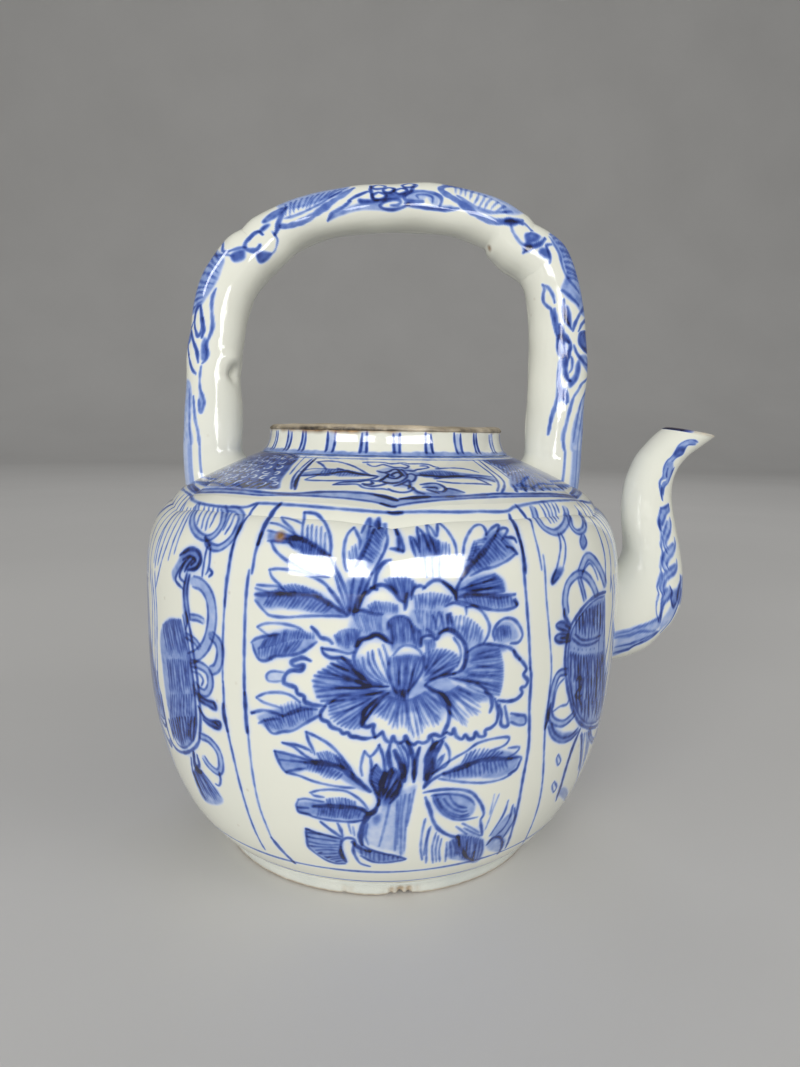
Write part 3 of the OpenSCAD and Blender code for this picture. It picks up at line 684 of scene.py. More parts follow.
LOWER_LEAVES = """
s .55 .95 : 130,95 200,120 280,180 330,210 / 130,95 220,110 300,140 322,160 / 285,25 300,80 330,140
 342,172
s .6 .95 : 285,25 360,60 440,110 500,170 560,250 592,302
s .6 .95 : 80,150 150,165 240,190 320,215 / 82,150 100,200 130,260 160,290
s .5 .85 : 110,205 200,215 280,222 / 150,285 220,270 280,262 / 160,290 240,310 330,345 430,370 520,385
 600,390
s 1.4 1 : 280,225 360,225 440,235 520,265 580,310 640,360 700,412
h 10 .42 .8 : 360,165 420,155 480,180 530,220 : 400,225 460,235 520,265 570,300
h 11 .45 .75 : 300,240 370,245 440,260 520,300 : 290,272 350,300 400,322 470,342
w .36 : 90,150 200,190 320,210 440,220 540,260 640,350 700,410 620,390 500,320 400,290 290,270 170,290
 110,220
s .5 .9 : 310,420 370,405 450,400 540,410 600,440 650,480 690,530 / 320,425 340,440 400,450 / 235,465
 280,460 340,470 400,480 / 235,465 225,510 300,520
s .6 .95 : 225,515 240,545 300,560 330,575 400,592 500,605 580,610 650,600
s 1.1 1.1 : 330,510 420,505 500,510 580,515 650,530 690,560
h 10 .42 .8 : 420,465 480,455 540,460 600,480 : 430,505 490,510 550,515 610,520
h 15 .45 .8 : 370,515 450,520 540,525 640,545 : 360,572 440,582 520,592 620,592
w .38 : 235,480 330,480 420,490 540,495 640,520 690,560 620,595 480,585 380,575 240,540
s 1.3 1.35 : 755,495 730,540 700,560 680,580 660,620 645,670 640,720 650,760
s 1 1.2 : 792,290 772,370 766,430 755,500
s .8 1 : 380,610 430,650 500,700 520,710 / 490,620 510,660 522,700
s .4 .7 : 560,620 570,660 580,690 / 590,640 600,700
s .6 .95 : 285,655 350,680 430,700 510,720 / 285,655 290,720 300,770 330,800 370,830 420,860 480,880
 540,882
s 1.3 1.25 : 510,770 515,820 545,870
s .8 1.1 : 285,655 305,660 / 290,705 308,705 / 300,765 322,765 / 365,815 388,808 / 420,845 442,838
h 9 .45 .75 : 300,680 310,750 380,820 480,870 : 500,720 510,770 520,800 530,860
w .36 : 290,665 400,695 510,725 520,800 540,880 440,860 350,810 300,760
s .7 .95 : 510,760 520,730 550,715 590,720 602,740 592,790 610,840 640,880 700,900
s 1.5 1.1 : 590,742 620,770 660,790 700,802
s .7 1 : 650,760 700,790 780,815 860,830 932,851
s .6 .9 : 640,830 720,870 800,875 880,865 932,855
h 9 .45 .75 : 640,780 720,810 800,825 880,840 : 650,832 720,862 800,870 880,862
w .42 : 600,760 700,800 820,825 930,852 820,870 720,865 640,820
s .5 .9 : 665,150 650,200 640,260 650,310 / 665,150 700,185 740,150 760,110 / 702,190 710,240 706,280
s .6 1 : 760,110 790,200 796,290 790,370 / 740,240 715,280 705,340 730,400 760,480
h 10 .42 .78 : 740,240 720,300 710,360 740,420 : 785,300 780,350 775,400 770,450
w .34 : 740,240 790,300 780,400 760,480 715,380 705,300
s 1.5 1.25 : 862,150 890,210 915,280 922,345
s 1 1.1 : 830,110 820,170 830,240 850,290 / 940,90 960,130 985,220 985,330 / 1022,130 1002,200 992,280
 985,350
s 1.8 1.3 : 1132,95 1092,160 1074,240 1064,330
s 1 1.2 : 1172,88 1132,160 1112,230 1096,300 1050,382
s .55 .9 : 880,110 910,170 930,240 930,320 / 900,100 940,160 950,220 940,300 / 1190,60 1160,80 1120,110
 / 1100,60 1110,100 1090,150
s .5 .9 : 1190,100 1215,150 1215,210 1190,250 1150,270 1110,300 / 1170,180 1140,220 1120,270 / 1185,170
 1160,220 1130,270
h 13 .42 .75 : 810,290 850,260 890,300 900,380 : 780,470 790,440 800,480 830,470
w .36 : 800,280 860,270 900,320 900,420 840,480 780,500 780,400
s .8 1 : 905,300 900,370 870,440 830,490
s .5 .5 : 830,480 805,600 760,770 / 880,470 872,600 862,800 / 930,430 905,600 900,830 / 960,430 932,640
 922,800 / 990,400 965,520 940,640 / 905,440 885,600 878,760
w .2 : 800,470 990,370 980,450 930,650 920,820 860,800 760,780 680,740 660,700 680,620 760,560
w .4 : 720,580 765,560 760,610 730,630
s .45 .7 : 685,620 672,700 690,760
s .5 .9 : 1100,300 1180,240 1260,190 1330,150 1400,100 1500,70 1600,60 1590,100 1540,130 1480,150 /
 1600,130 1670,125 1650,160 1600,190
s .6 1.05 : 1600,200 1680,190 1670,230 1650,270 1600,300
s 1.2 1 : 1180,300 1260,270 1340,240 1420,210 1520,200 1620,200
h 15 .42 .78 : 1220,290 1320,260 1420,230 1580,215 : 1220,332 1330,322 1440,312 1600,272
h 10 .42 .7 : 1330,170 1400,140 1460,140 1560,160 : 1290,240 1360,220 1430,205 1510,195
s .5 .85 : 1150,330 1250,345 1350,355 1450,355 1550,335 1620,300
w .38 : 1180,290 1300,230 1420,170 1560,150 1660,190 1640,260 1540,320 1400,320 1260,325 1180,320
s .7 1 : 1180,292 1100,342 1050,392
s .65 1 : 1050,420 1100,410 1180,400 1280,400 1360,420 1400,460 1430,510 1440,560 1420,600 1425,650
 1430,700
s .45 .8 : 1100,440 1200,430 1300,440 1360,470 1380,500 / 1110,450 1130,500 1180,560 1250,595 1320,595
 1400,580 / 1140,460 1170,510 1220,550 1290,570 1340,560 / 1180,460 1210,500 1250,530 1300,545 1330,540
 / 1220,440 1240,480 1280,510 1330,520 / 1125,440 1150,500 1200,555 1270,582 1345,572
w .34 : 1110,430 1250,420 1350,450 1380,520 1340,580 1240,590 1150,540
s .8 1 : 1060,450 1090,530 1110,600 1150,660 1220,700 1280,710
s .45 .75 : 1060,590 1040,680 1030,780 1040,860 / 1095,640 1070,740 1065,880 / 1130,680 1105,780
 1110,880 / 1165,720 1150,800 1155,870 / 1200,740 1190,870 / 1085,650 1060,760 1050,830 / 1145,700
 1128,790 1132,872
h 13 .5 .75 : 1220,740 1280,710 1360,710 1430,730 : 1230,850 1290,850 1360,870 1400,870
w .34 : 1220,730 1300,690 1400,700 1440,760 1400,870 1300,860 1210,840
s 1 1.1 : 1270,700 1290,770 1330,840 1370,860
s .5 .8 : 1300,620 1360,650 1410,680 / 1310,650 1370,680 1420,700 / 1260,640 1330,690
s .6 .85 : 1600,470 1570,560 1520,640 1480,700 / 1630,500 1610,580 1570,650 1520,700 / 1640,520 1640,590
 1600,660 1560,720
s .8 1.15 : 1460,760 1500,715 1540,710 1560,740 1550,790 1530,820
s .4 .5 : 1540,430 1500,530 1450,660 / 1510,430 1480,560
w .3 : 1480,700 1560,600 1620,560 1600,680 1540,720
w .3 : 1460,740 1540,700 1580,740 1540,800 1470,790
"""
HANGING_RIGHT = """
d 1.5 .42 .95 110,50 125,92 152,127 190,148 216,144 240,118 248,82 240,50
s .4 .95 138,38 160,75 182,112 / 155,34 175,72 196,110 / 170,32 188,70 206,105 / 186,32 202,68 214,96 /
 202,34 216,70
d 1.2 .42 .9 250,78 264,122 290,148 314,138 320,108 304,72
s .45 1 284,50 308,84 324,128
s .45 .9 212,152 222,200 216,250 205,298 / 222,152 240,192 241,240 232,290
w .8 205,298 190,330 188,356 214,332 234,294
s .6 1.15 204,300 190,334 190,354 214,330
s .5 .9 306,160 300,188 312,215 326,190 316,160
w .4 306,160 300,188 312,215 326,190 316,160
d 1.7 .45 .9 246,474 240,420 250,362 275,328 302,316 330,330 352,362 366,398
d 1.8 .45 .9 300,308 318,262 336,246 360,266 386,312 402,362
s .45 .85 305,330 322,290 340,274 358,300 372,340
d 1.1 .45 .95 296,332 308,370 320,420
s .9 1.2 236,458 240,488 262,520
w .5 205,520 232,508 262,530 258,560 262,585 216,592 200,574 226,552
s .6 1.05 262,532 232,508 206,518 214,534 252,546 / 256,560 220,556 200,572 216,590 262,584 / 240,522
 256,536 / 222,572 254,572
s .9 1.05 402,388 370,400 330,430 290,480 261,530 246,590 240,660 245,740 258,812 275,870 297,910
 330,930 366,924 388,902 406,858 414,790
s .45 .9 398,404 368,416 334,444 298,490 270,538 256,594 251,660 256,738 268,806 286,862 306,896 332,914
 362,908 378,888
w .36 396,410 334,444 290,500 262,560 252,660 260,780 290,880 332,914 370,900 400,840 400,600
h 10 .6 .9 : 284,500 310,474 345,452 392,430 : 284,562 312,574 350,572 388,560
h 7 .5 1 : 296,492 330,462 380,440 : 300,540 336,540 380,530
s .55 1.1 268,574 300,598 340,598 376,580 / 280,558 310,580 350,576 382,562
s .5 1.1 276,612 277,616 / 292,616 293,620 / 308,618 309,622 / 324,618 325,622 / 340,616 341,620 /
 356,613 357,617
h 15 .42 .85 : 262,630 300,640 340,640 390,628 : 276,860 305,900 340,905 386,880
h 13 .5 .85 : 268,640 310,648 350,646 392,640 : 262,740 300,760 340,760 390,750
h 10 .55 .95 : 300,730 340,736 372,730 408,712 : 296,820 330,840 366,832 404,800
h 8 .6 .95 : 280,800 310,820 350,830 392,810 : 292,872 318,894 350,896 380,872
s .7 1.1 286,742 296,730 308,742 304,770 290,782 284,800 294,812 306,800
d 1.5 .5 .95 250,706 216,716 196,760 182,830 180,880 196,906 230,914 262,892 282,866
s .5 .85 236,734 214,760 200,800 192,850 / 192,866 220,846 246,838 254,822
s .9 1.3 182,836 174,880 160,935
w .45 178,915 190,955 225,980 262,972 292,946 262,950 220,950
d 1.3 .5 .9 178,920 194,960 226,980 262,970 292,940
s .5 .95 212,1038 206,1056 212,1080 222,1062 212,1038
s .5 .95 196,1146 188,1164 194,1188 206,1168 196,1146
s 1.1 1.4 300,938 272,1006 242,1098 212,1198 204,1222
s .55 1 306,950 302,1040 290,1130 272,1200
h 7 .4 .7 : 302,960 320,952 342,948 : 286,1120 304,1100 322,1060
d 1 .5 .85 334,938 344,974 360,984 376,958
w .4 216,1200 232,1170 250,1190 240,1220
s .4 .9 152,240 164,400 178,560 185,700 168,860
s .5 .95 168,860 160,930 @-29.8,42.8 @-27.4,30.9 @-24.6,17 @-21,8
s .45 1.1 @-6.2,105.5 @-6.2,100.6 @-7.8,95 @-8,89 @-8.6,82
s .38 .9 @-3,106 @-2.8,100 @-3.8,94 @-4.4,88 @-4.8,80 / @0,106 @0.4,100 @-0.2,94 @-1,86
s .4 .85 @-4.8,84 @-2.4,77 @-3.4,68 @-5.6,60 / @-8.5,79 @-7.1,68 @-7.4,58 / @-10.8,77 @-10.2,66 @-10,58
 / @-2.6,84 @-0.6,76 @-1.2,66 @-3.2,56 / @0,84 @1,74 @0,64 @-1.4,54
"""
HANGING_LEFT = """
d 1.4 .45 .95 196,42 176,90 181,130 206,162 240,172 274,150 298,110 308,70 300,50
s .4 .9 226,44 206,84 196,118 / 244,48 222,96 214,134 / 262,50 240,96 230,140 / 280,52 262,96 246,130
d 1.4 .45 .95 326,54 358,62 372,92 350,148 320,188 280,212 246,202 232,178
s .45 .9 334,72 314,112 300,140 / 350,76 332,116 308,156
s 1.2 1.4 228,168 236,184 246,202
s .5 1 236,208 224,268 216,326 / 250,210 246,262 240,300 230,318
s .7 1.2 246,296 256,312 244,326
s .4 .9 150,60 110,120 76,200 50,280 32,366 / 165,60 130,120 100,190 80,262 / 180,56 148,112 122,176
 104,236 / 124,40 84,100 50,180 24,290 / 140,48 98,108 62,190 38,280
w .42 132,236 168,214 200,226 212,260 194,294 160,300 134,300 108,330 104,346 96,310 118,270
s 1 1.3 128,240 168,216 200,226 210,260 192,292 158,300
s .6 1.15 150,262 124,300 110,340 138,374 / 168,246 138,286 126,326 148,352 / 184,252 160,280 146,306
s .8 1.2 140,258 168,246 188,262 172,280
s .5 1 156,310 142,380 146,440 156,500 150,540
s .5 .95 166,320 156,380 160,440 168,500
w .5 150,320 140,380 146,500 160,500 160,380 168,320
d 2.6 .5 .9 180,346 214,360 243,402 255,462 252,530 232,598 198,638 160,656
d 1.3 .45 .85 166,488 198,492 226,508
d 1.3 .45 .9 148,560 184,582 206,612
d 2 .5 .9 252,560 280,592 288,640 274,690 246,704
d 1.7 .5 .9 170,672 212,684 242,712 248,760 230,792 200,778 182,748
s .5 .85 176,706 204,716 220,740 214,762
w .6 190,790 232,818 266,830 272,862 236,842 200,818
s .6 1.1 190,792 232,820 264,832 270,858 236,840 202,820
s 1 1.35 262,832 270,850
w .7 200,842 226,890 252,904 286,906 286,936 250,924 222,896
s .6 1.1 200,844 226,888 254,904 286,908 284,934 250,922 220,898
s 1.3 1.45 268,912 280,922
s .8 1.05 150,470 168,540 184,650 200,760 208,860 208,940 196,1000 150,1030 110,1012 84,960 60,880
s .5 .9 138,480 154,560 170,660 184,760 192,860 192,930 180,980 148,1010 118,994 96,940
w .42 130,500 150,560 170,680 188,800 192,920 170,990 130,1000 90,900 60,700 50,560 80,500
h 12 .5 .7 : 60,520 90,500 130,500 : 80,640 120,640 164,650
h 12 .45 .75 : 76,660 120,660 168,670 : 90,800 140,800 184,800
h 11 .7 1.15 : 84,900 130,890 186,890 : 104,980 140,1000 180,980
h 11 .42 .75 : 90,800 140,800 186,800 : 90,900 140,900 190,900
d 1.5 .5 .9 206,962 246,982 282,1030 292,1086 278,1108 244,1082 218,1042
s .6 1.05 284,1110 290,1140 284,1162 270,1156
s 1.6 1.45 182,1030 186,1070 196,1100 212,1106
s .9 1.3 196,1040 204,1080 188,1100
s .6 1.1 172,1050 178,1100 196,1150 230,1220
h 12 .42 .85 : 180,1108 196,1104 216,1106 : 226,1222 262,1222 300,1222
w .3 176,1100 216,1106 300,1222 226,1222
s .5 .85 370,112 346,180 330,260 318,340 305,450 298,600 298,750
s 1 1.35 300,835 304,880 318,945
s .55 .95 318,945 344,1060 @30.3,32 @30.7,24.5 @31.3,14
s .5 .95 300,745 304,850
"""
SHOULDER_BORDER = """
s .75 1.8 185,70 120,130 62,198 40,248 36,290
s .4 1.3 155,75 90,130 34,190 14,240 10,288
s .35 .94 110,60 50,120 0,184
s .45 1.2 1280,85 1340,130 1400,175 1442,215 1460,258 1450,302
s .45 1.3 1320,85 1400,150 1460,195 1496,235 1500,272 1482,312
s .35 1.1 1355,90 1430,135 1536,215
"""
SHOULDER_LEAF = """
s .42 .95 : 255,110 340,105 430,115 510,140 570,170 620,200 660,210 / 265,112 300,135 325,165
s .35 .7 : 140,180 220,160 320,160 420,165 480,175 / 130,206 200,200 300,195
s .7 1.25 : 370,190 430,180 500,185 560,195 620,205 680,210
s .45 1.15 : 400,155 440,165 / 470,170 520,190 / 350,185 380,192
s .42 .9 : 130,210 220,205 300,195 370,195 / 260,205 350,205 / 260,206 180,235 300,242 420,242 520,238
 600,235 660,225 690,212
w .3 : 150,190 250,170 380,165 480,175 600,200 560,212 440,212 300,200 180,205
h 14 .3 .8 : 300,172 400,162 500,175 560,190 : 280,205 380,210 480,212 540,212
s .5 1.15 : 375,270 420,255 500,250 560,248 620,240 680,245 720,230
s .4 1 : 375,270 450,268 540,268 580,290 640,300 720,300 760,310
s .7 1.3 : 580,265 620,270 650,262 640,250
s .5 1.15 : 590,275 640,282 700,275 740,262 720,250
s .4 1 : 580,115 640,113 720,115 780,125 860,118 900,125 / 610,125 640,140 670,142 720,130 760,140
 800,150 840,150
s .5 1.3 : 680,175 720,185 760,180 790,165 820,165 850,190 870,210
s .55 1.35 : 750,215 780,225 820,225 850,205 830,185 800,190 780,205 800,215
s .5 1.2 : 700,250 730,225 760,200 740,190 / 720,250 770,260 830,255 870,235 890,210 870,180 850,165
s .45 1.15 : 760,300 790,315 850,325 900,320 930,300 900,280 860,270
s .5 1.25 : 800,280 840,270 880,250 900,240 910,270 900,300 / 890,200 920,195 950,210 940,240 920,250
s .42 1.05 : 830,165 870,170 930,175 960,165 1000,160 1040,150 1020,140 980,140 / 850,125 900,140
 880,155 850,150 / 900,125 980,125 1040,130 1080,145 1110,150
w .2 : 680,170 760,150 880,150 950,180 950,240 900,290 800,280 720,250
s .42 .9 : 1090,160 1160,155 1240,155 1320,165 1390,185
w .4 : 950,190 1050,170 1160,174 1280,190 1400,205 1500,230 1500,250 1400,235 1280,225 1160,225 1060,222
 980,208
s .7 1.2 : 960,205 1020,205 1080,210 1150,215 1250,212 1370,220
s .5 1.1 : 1370,220 1420,225 1480,240 1500,250 / 1380,230 1430,250 1470,270
s .38 .8 : 1250,210 1370,204 1480,215 1510,225 / 1080,230 1180,216
s .42 .9 : 1100,245 1200,258 1300,262 1400,265 1480,272
h 16 .32 .85 : 980,190 1060,178 1140,178 1240,190 : 1010,217 1080,225 1160,228 1260,222
s .5 1.1 : 985,270 1040,262 1090,262 1130,275 1160,300 1140,320 1090,315 / 1000,290 1050,290 1090,290
 1100,300 / 1030,305 1080,320 1110,330
w .3 : 1000,270 1090,270 1130,290 1080,310 1020,290
w .38 : 930,310 1000,320 1080,325 1140,318 1200,300 1290,325 1200,345 1060,345 960,340
s .5 1.05 : 1160,300 1200,300 1290,325 / 930,290 960,320 1010,335
"""
SHOULDER_LINES = """
s 1.1 .6 @-60,22.9 @-40,23.1 @-20,23.2 @0,23.3 @20,23.2 @40,23.1 @60,22.9
s .45 .8 @-60,20.9 @-30,21.4 @0,21.5 @30,21.4 @60,20.9
w .3 @-60,2 @-45,3 @-33,2.8 @-19,4 @-12,4.6 @-6,4.5 @0,2.6 @5,3.2 @13,3.3 @27,3.7 @42,3 @60,1.5 @60,.5
 @40,2.1 @24,2.5 @9,1.8 @0,.4 @-5,1.4 @-15,2.3 @-26,2.2 @-43,1.6 @-60,.7
s .8 1.05 @-60.5,2.2 @-45,3.2 @-33,2.9 0,320 200,308 400,308 560,320 680,345 750,366
s .8 1.1 770,355 900,345 1100,340 1300,330 1450,320 @34,3.6 1750,319 1900,326 @60.5,1.2
s .5 .95 @-60.5,.6 -604,312 -394,314 -214,330 0,330 150,335 300,345 450,358 600,380 695,406
s .5 .95 720,410 850,385 1000,370 1200,355 1400,345 1538,340 @40,2.1 @52,1.2 @60.5,.4
s 1.3 1.5 @-5,4.3 680,345 750,366
s .9 1.5 @-3.6,1.2 695,406 @-.4,.2
s 1.1 1.2 @1,3 @4,3.3 @8,3.5
"""
BAND_LINES = """
s .45 .95 @-61,-1 @-56,-1.8 @-50,-2.2 222,506.7 @-38,-2.1 247,506.7 252.8,505.3 257.8,503.3 @-30,-.75
 280.3,504.2 301.7,505 330,508 360,513 378,517 392,520
s .45 .95 392,520 405,517.5 430,513.5 460,512 480,511.5 498,511.3 508,510.8 513,507.5 516.3,505.8
 531.3,503.3 548,500.3 564.7,500.3 @56,-.4 @61,-1
s .7 1.3 @-2,-1.55 @-1,-1.75 @1,-1.6
"""

front = strokes(LEFT_LEAVES, unwrapped)
front += strokes(EDGE_RIGHT, edge_right_crop) + strokes(EDGE_LEFT, edge_left_crop)
front += strokes(RIM_LEFT, rim_left_crop) + strokes(RIM_RIGHT, rim_right_crop)
front += strokes(FLOWER, flower_crop, hatch=0.78, wash=0.8)
front += strokes(UPPER_LEAVES, upper_crop) + strokes(LOWER_LEAVES, lower_crop)
hanging_right = strokes(HANGING_RIGHT, right_crop)
hanging_left = strokes(HANGING_LEFT, left_crop)
shoulder_leaf = strokes(SHOULDER_BORDER, border_crop)
shoulder_leaf += strokes(SHOULDER_LEAF, leaf_crop, wide=1.1, line=1.3, wash=1.2)
shoulder_lines = strokes(SHOULDER_LINES, lines_crop)
shoulder_lines += strokes(BAND_LINES, band_crop)


# ---------------------------------------------------------------- meshes
class Piece:
    """Collects grids of points into one mesh, with a pigment depth at each point"""

    def __init__(self, name):
        self.name, self.v, self.f, self.uv, self.ink, self.rust, self.n = name, [], [], [], [], [], 0

    def grid(
        self, p, ink=None, rust=None, wrap_u=False, wrap_v=False, cuts=1, lay=(1, 1), box=(0, 0, 1, 1), v=None
    ):
        """
        Quads over p[row, column]. The UVs cut the columns into cuts blocks, laid out lay[0] wide
        and lay[1] high.
        """
        ny, nx = p.shape[:2]
        self.v.append(p.reshape(-1, 3))
        z = np.zeros((ny, nx))
        self.ink.append((z if ink is None else ink).reshape(-1))
        self.rust.append((z if rust is None else rust).reshape(-1))
        my, mx = ny if wrap_v else ny - 1, nx if wrap_u else nx - 1
        j, i = np.meshgrid(np.arange(my), np.arange(mx), indexing="ij")
        j2, i2 = (j + 1) % ny, (i + 1) % nx
        quads = np.stack([j * nx + i, j * nx + i2, j2 * nx + i2, j2 * nx + i], -1)
        self.f.append(quads.reshape(-1, 4) + self.n)
        size = mx / cuts
        block = np.minimum((i / size).astype(int), cuts - 1)
        if v is None:
            v = np.linspace(0, 1, my + 1)
        du = 0.97 / lay[0]
        dv = 0.97 / lay[1]
        bx, by = (block % lay[0]) / lay[0], (block // lay[0]) / lay[1]
        u0, u1 = (i - block * size) / size * du + bx, (i + 1 - block * size) / size * du + bx
        v0, v1 = v[j] * dv + by, v[j + 1] * dv + by
        uv = np.stack([u0, v0, u1, v0, u1, v1, u0, v1], -1).reshape(-1, 2)
        lo, hi = np.array(box[:2]), np.array(box[2:])
        self.uv.append(lo + uv * (hi - lo))
        self.n += ny * nx

    def shell(self, p, outer, ink, rust, lay, share):
        """A closed wall whose first rows are its outside; share of the UVs goes to the rest"""
        rust = np.zeros(p.shape[:2]) if rust is None else rust
        v = np.linspace(share, 1, outer)
        self.grid(p[:outer], ink[:outer], rust[:outer], wrap_u=True, cuts=6, lay=lay, v=v)
        back = np.r_[outer - 1 : len(p), 0]
        v = np.linspace(share * 0.95, 0, len(back))
        self.grid(p[back], ink[back] * 0, rust[back] * 0, wrap_u=True, cuts=6, lay=lay, v=v)

    def cap(self, ring, centre, flip=False, box=(0.985, 0.985, 1, 1)):
        """Fan of thin quads that closes a ring"""
        p = np.stack([ring, (ring + centre) / 2, centre[None] * 0.999 + ring * 0.001])
        if flip:
            p = p[:, ::-1]
        self.grid(p, wrap_u=True, box=box)

    def make(self, material, slot, *nodes):
        v = np.vstack(self.v) * 0.001
        f = np.vstack(self.f).astype(np.int32)
        me = bpy.data.meshes.new(self.name)
        me.vertices.add(len(v))
        me.vertices.foreach_set("co", v.astype(np.float32).ravel())
        me.loops.add(f.size)
        me.loops.foreach_set("vertex_index", f.ravel())
        me.polygons.add(len(f))
        me.polygons.foreach_set("loop_start", np.arange(0, f.size, 4, dtype=np.int32))
        me.update(calc_edges=True)
        me.polygons.foreach_set("use_smooth", np.ones(len(f), bool))
        layer = me.uv_layers.new(name="OFBake")
        layer.data.foreach_set("uv", np.vstack(self.uv).astype(np.float32).ravel())
        for name, a in (("ink", self.ink), ("rust", self.rust)):
            at = me.attributes.new(name, "FLOAT", "POINT")
            at.data.foreach_set("value", np.concatenate(a).astype(np.float32))
        o = bpy.data.objects.new(self.name, me)
        bpy.context.scene.collection.objects.link(o)
        me.materials.append(material)
        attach(o, "root")
        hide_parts(*nodes)
        return o


def stack(f, az, rows, *more):
    """Points f(az, row) for each row and column"""
    a, r = np.meshgrid(az, rows)
    return np.stack(np.broadcast_arrays(*f(a, r, *more)), -1)


# ---------------------------------------------------------------- materials
def linear(*rgb):
    return tuple(((c / 255 + 0.055) / 1.055) ** 2.4 if c > 10 else c / 255 / 12.92 for c in rgb) + (1,)


def grey(v):
    return (v, v, v, 1)


def material(name):
    m = bpy.data.materials.new(name)
    m.use_nodes = True
    n = m.node_tree
    n.nodes.clear()
    out = n.nodes.new("ShaderNodeOutputMaterial")
    b = n.nodes.new("ShaderNodeBsdfPrincipled")
    n.links.new(b.outputs[0], out.inputs["Surface"])
    return m, n, b


def node(n, kind, **values):
    o = n.nodes.new("ShaderNode" + kind)
    for k, v in values.items():
        if k in o.inputs:
            o.inputs[k].default_value = v
        else:
            setattr(o, k, v)
    return o


def mathn(n, op, a, b=0.0, c=0.0):
    o = node(n, "Math", operation=op)
    for k, x in enumerate((a, b, c)):
        if isinstance(x, (int, float)):
            o.inputs[k].default_value = x
        else:
            n.links.new(x, o.inputs[k])
    return o.outputs[0]


def ramp(n, fac, stops, mode="LINEAR"):
    o = n.nodes.new("ShaderNodeValToRGB")
    o.color_ramp.interpolation = mode
    while len(o.color_ramp.elements) < len(stops):
        o.color_ramp.elements.new(0.5)
    for e, (p, c) in zip(o.color_ramp.elements, stops):
        e.position, e.color = p, c
    n.links.new(fac, o.inputs[0])
    return o.outputs[0]


def mixc(n, fac, a, b, blend="MIX"):
    o = node(n, "Mix", data_type="RGBA", blend_type=blend)
    for k, x in ((0, fac), (6, a), (7, b)):
        if isinstance(x, (int, float, tuple)):
            o.inputs[k].default_value = x
        else:
            n.links.new(x, o.inputs[k])
    return o.outputs[2]


def noise(n, where, scale, detail=3.0, rough=0.5):
    o = node(n, "TexNoise", Scale=scale, Detail=detail, Roughness=rough)
    n.links.new(where, o.inputs["Vector"])
    return o.outputs["Fac"]


def glaze():
    m, n, b = material("glazed_porcelain")
    where = node(n, "TexCoord").outputs["Object"]
    ink = node(n, "Attribute", attribute_name="ink").outputs["Fac"]
    rust = node(n, "Attribute", attribute_name="rust").outputs["Fac"]
    fine, mid, broad = noise(n, where, 1500), noise(n, where, 420), noise(n, where, 34, 4)
    # cobalt under the glaze: thin where the brush ran dry, near black where it pooled; the same attribute
    # also carries the painted shade inside the spout's bore
    k = mathn(n, "MULTIPLY_ADD", mid, 0.5, 0.75)
    k2 = mathn(n, "MULTIPLY_ADD", fine, 0.3, 0.85)
    depth = mathn(n, "MULTIPLY", mathn(n, "MULTIPLY", ink, k), k2)
    half = mathn(n, "MULTIPLY", depth, 0.5)
    white = mixc(n, broad, linear(*WHITE_A), linear(*WHITE_B))
    blue = ramp(
        n,
        half,
        [
            (0.0, linear(*WHITE_A)),
            (0.06, linear(200, 210, 229)),
            (0.15, linear(152, 172, 216)),
            (0.27, linear(108, 134, 194)),
            (0.42, linear(72, 99, 172)),
            (0.6, linear(44, 70, 144)),
            (0.8, linear(27, 44, 106)),
            (1.0, linear(15, 20, 56)),
        ],
    )
    gate = mathn(n, "MULTIPLY", depth, 9.0)
    gate.node.use_clamp = True
    colour = mixc(n, gate, white, blue)
    # iron that came through in the firing
    speck = node(n, "TexVoronoi", Scale=150.0)
    n.links.new(where, speck.inputs["Vector"])
    dot = ramp(n, speck.outputs["Distance"], [(0.0, grey(1)), (0.055, grey(0.5)), (0.09, grey(0))])
    few = ramp(n, broad, [(0.55, grey(0)), (0.62, grey(1))])
    dots = mathn(n, "MULTIPLY", mathn(n, "MULTIPLY", dot, few), 0.25)
    iron = mathn(n, "ADD", rust, dots)
    iron.node.use_clamp = True
    colour = mixc(n, iron, colour, ramp(n, mid, [(0.3, linear(96, 66, 38)), (0.7, linear(176, 136, 84))]))
    n.links.new(colour, b.inputs["Base Color"])
    rough = ramp(n, broad, [(0.3, grey(0.05)), (0.75, grey(0.11))])
    n.links.new(rough, b.inputs["Roughness"])
    b.inputs["IOR"].default_value = 1.52
    b.inputs["Specular IOR Level"].default_value = 0.62
    bump = node(n, "Bump", Strength=0.1, Distance=0.0003)
    n.links.new(noise(n, where, 260, 2), bump.inputs["Height"])
    n.links.new(bump.outputs[0], b.inputs["Normal"])
    return m


WHITE_A, WHITE_B = (228, 228, 215), (221, 223, 212)


def foot_material():
    """Thin glaze down the side and bare body on the edge the pot stands on"""
    m, n, b = material("worn_foot")
    where = node(n, "TexCoord").outputs["Object"]
    broad, mid, fine = noise(n, where, 60, 4), noise(n, where, 500, 4, 0.6), noise(n, where, 2600, 3, 0.7)
    clay = [(0.3, linear(150, 124, 92)), (0.55, linear(186, 170, 146)), (0.75, linear(204, 196, 180))]
    bare = ramp(n, mid, clay)
    thin = ramp(n, broad, [(0.35, linear(212, 215, 208)), (0.7, linear(198, 203, 199))])
    wear = node(n, "Attribute", attribute_name="rust").outputs["Fac"]
    edge = mathn(n, "MULTIPLY_ADD", fine, 0.5, -0.25)
    edge = mathn(n, "ADD", wear, edge)
    edge.node.use_clamp = True
    n.links.new(mixc(n, edge, thin, bare), b.inputs["Base Color"])
    n.links.new(mathn(n, "MULTIPLY_ADD", edge, 0.55, 0.16), b.inputs["Roughness"])
    bump = node(n, "Bump", Strength=0.35, Distance=0.0003)
    n.links.new(mathn(n, "ADD", fine, mid), bump.inputs["Height"])
    n.links.new(bump.outputs[0], b.inputs["Normal"])
    return m


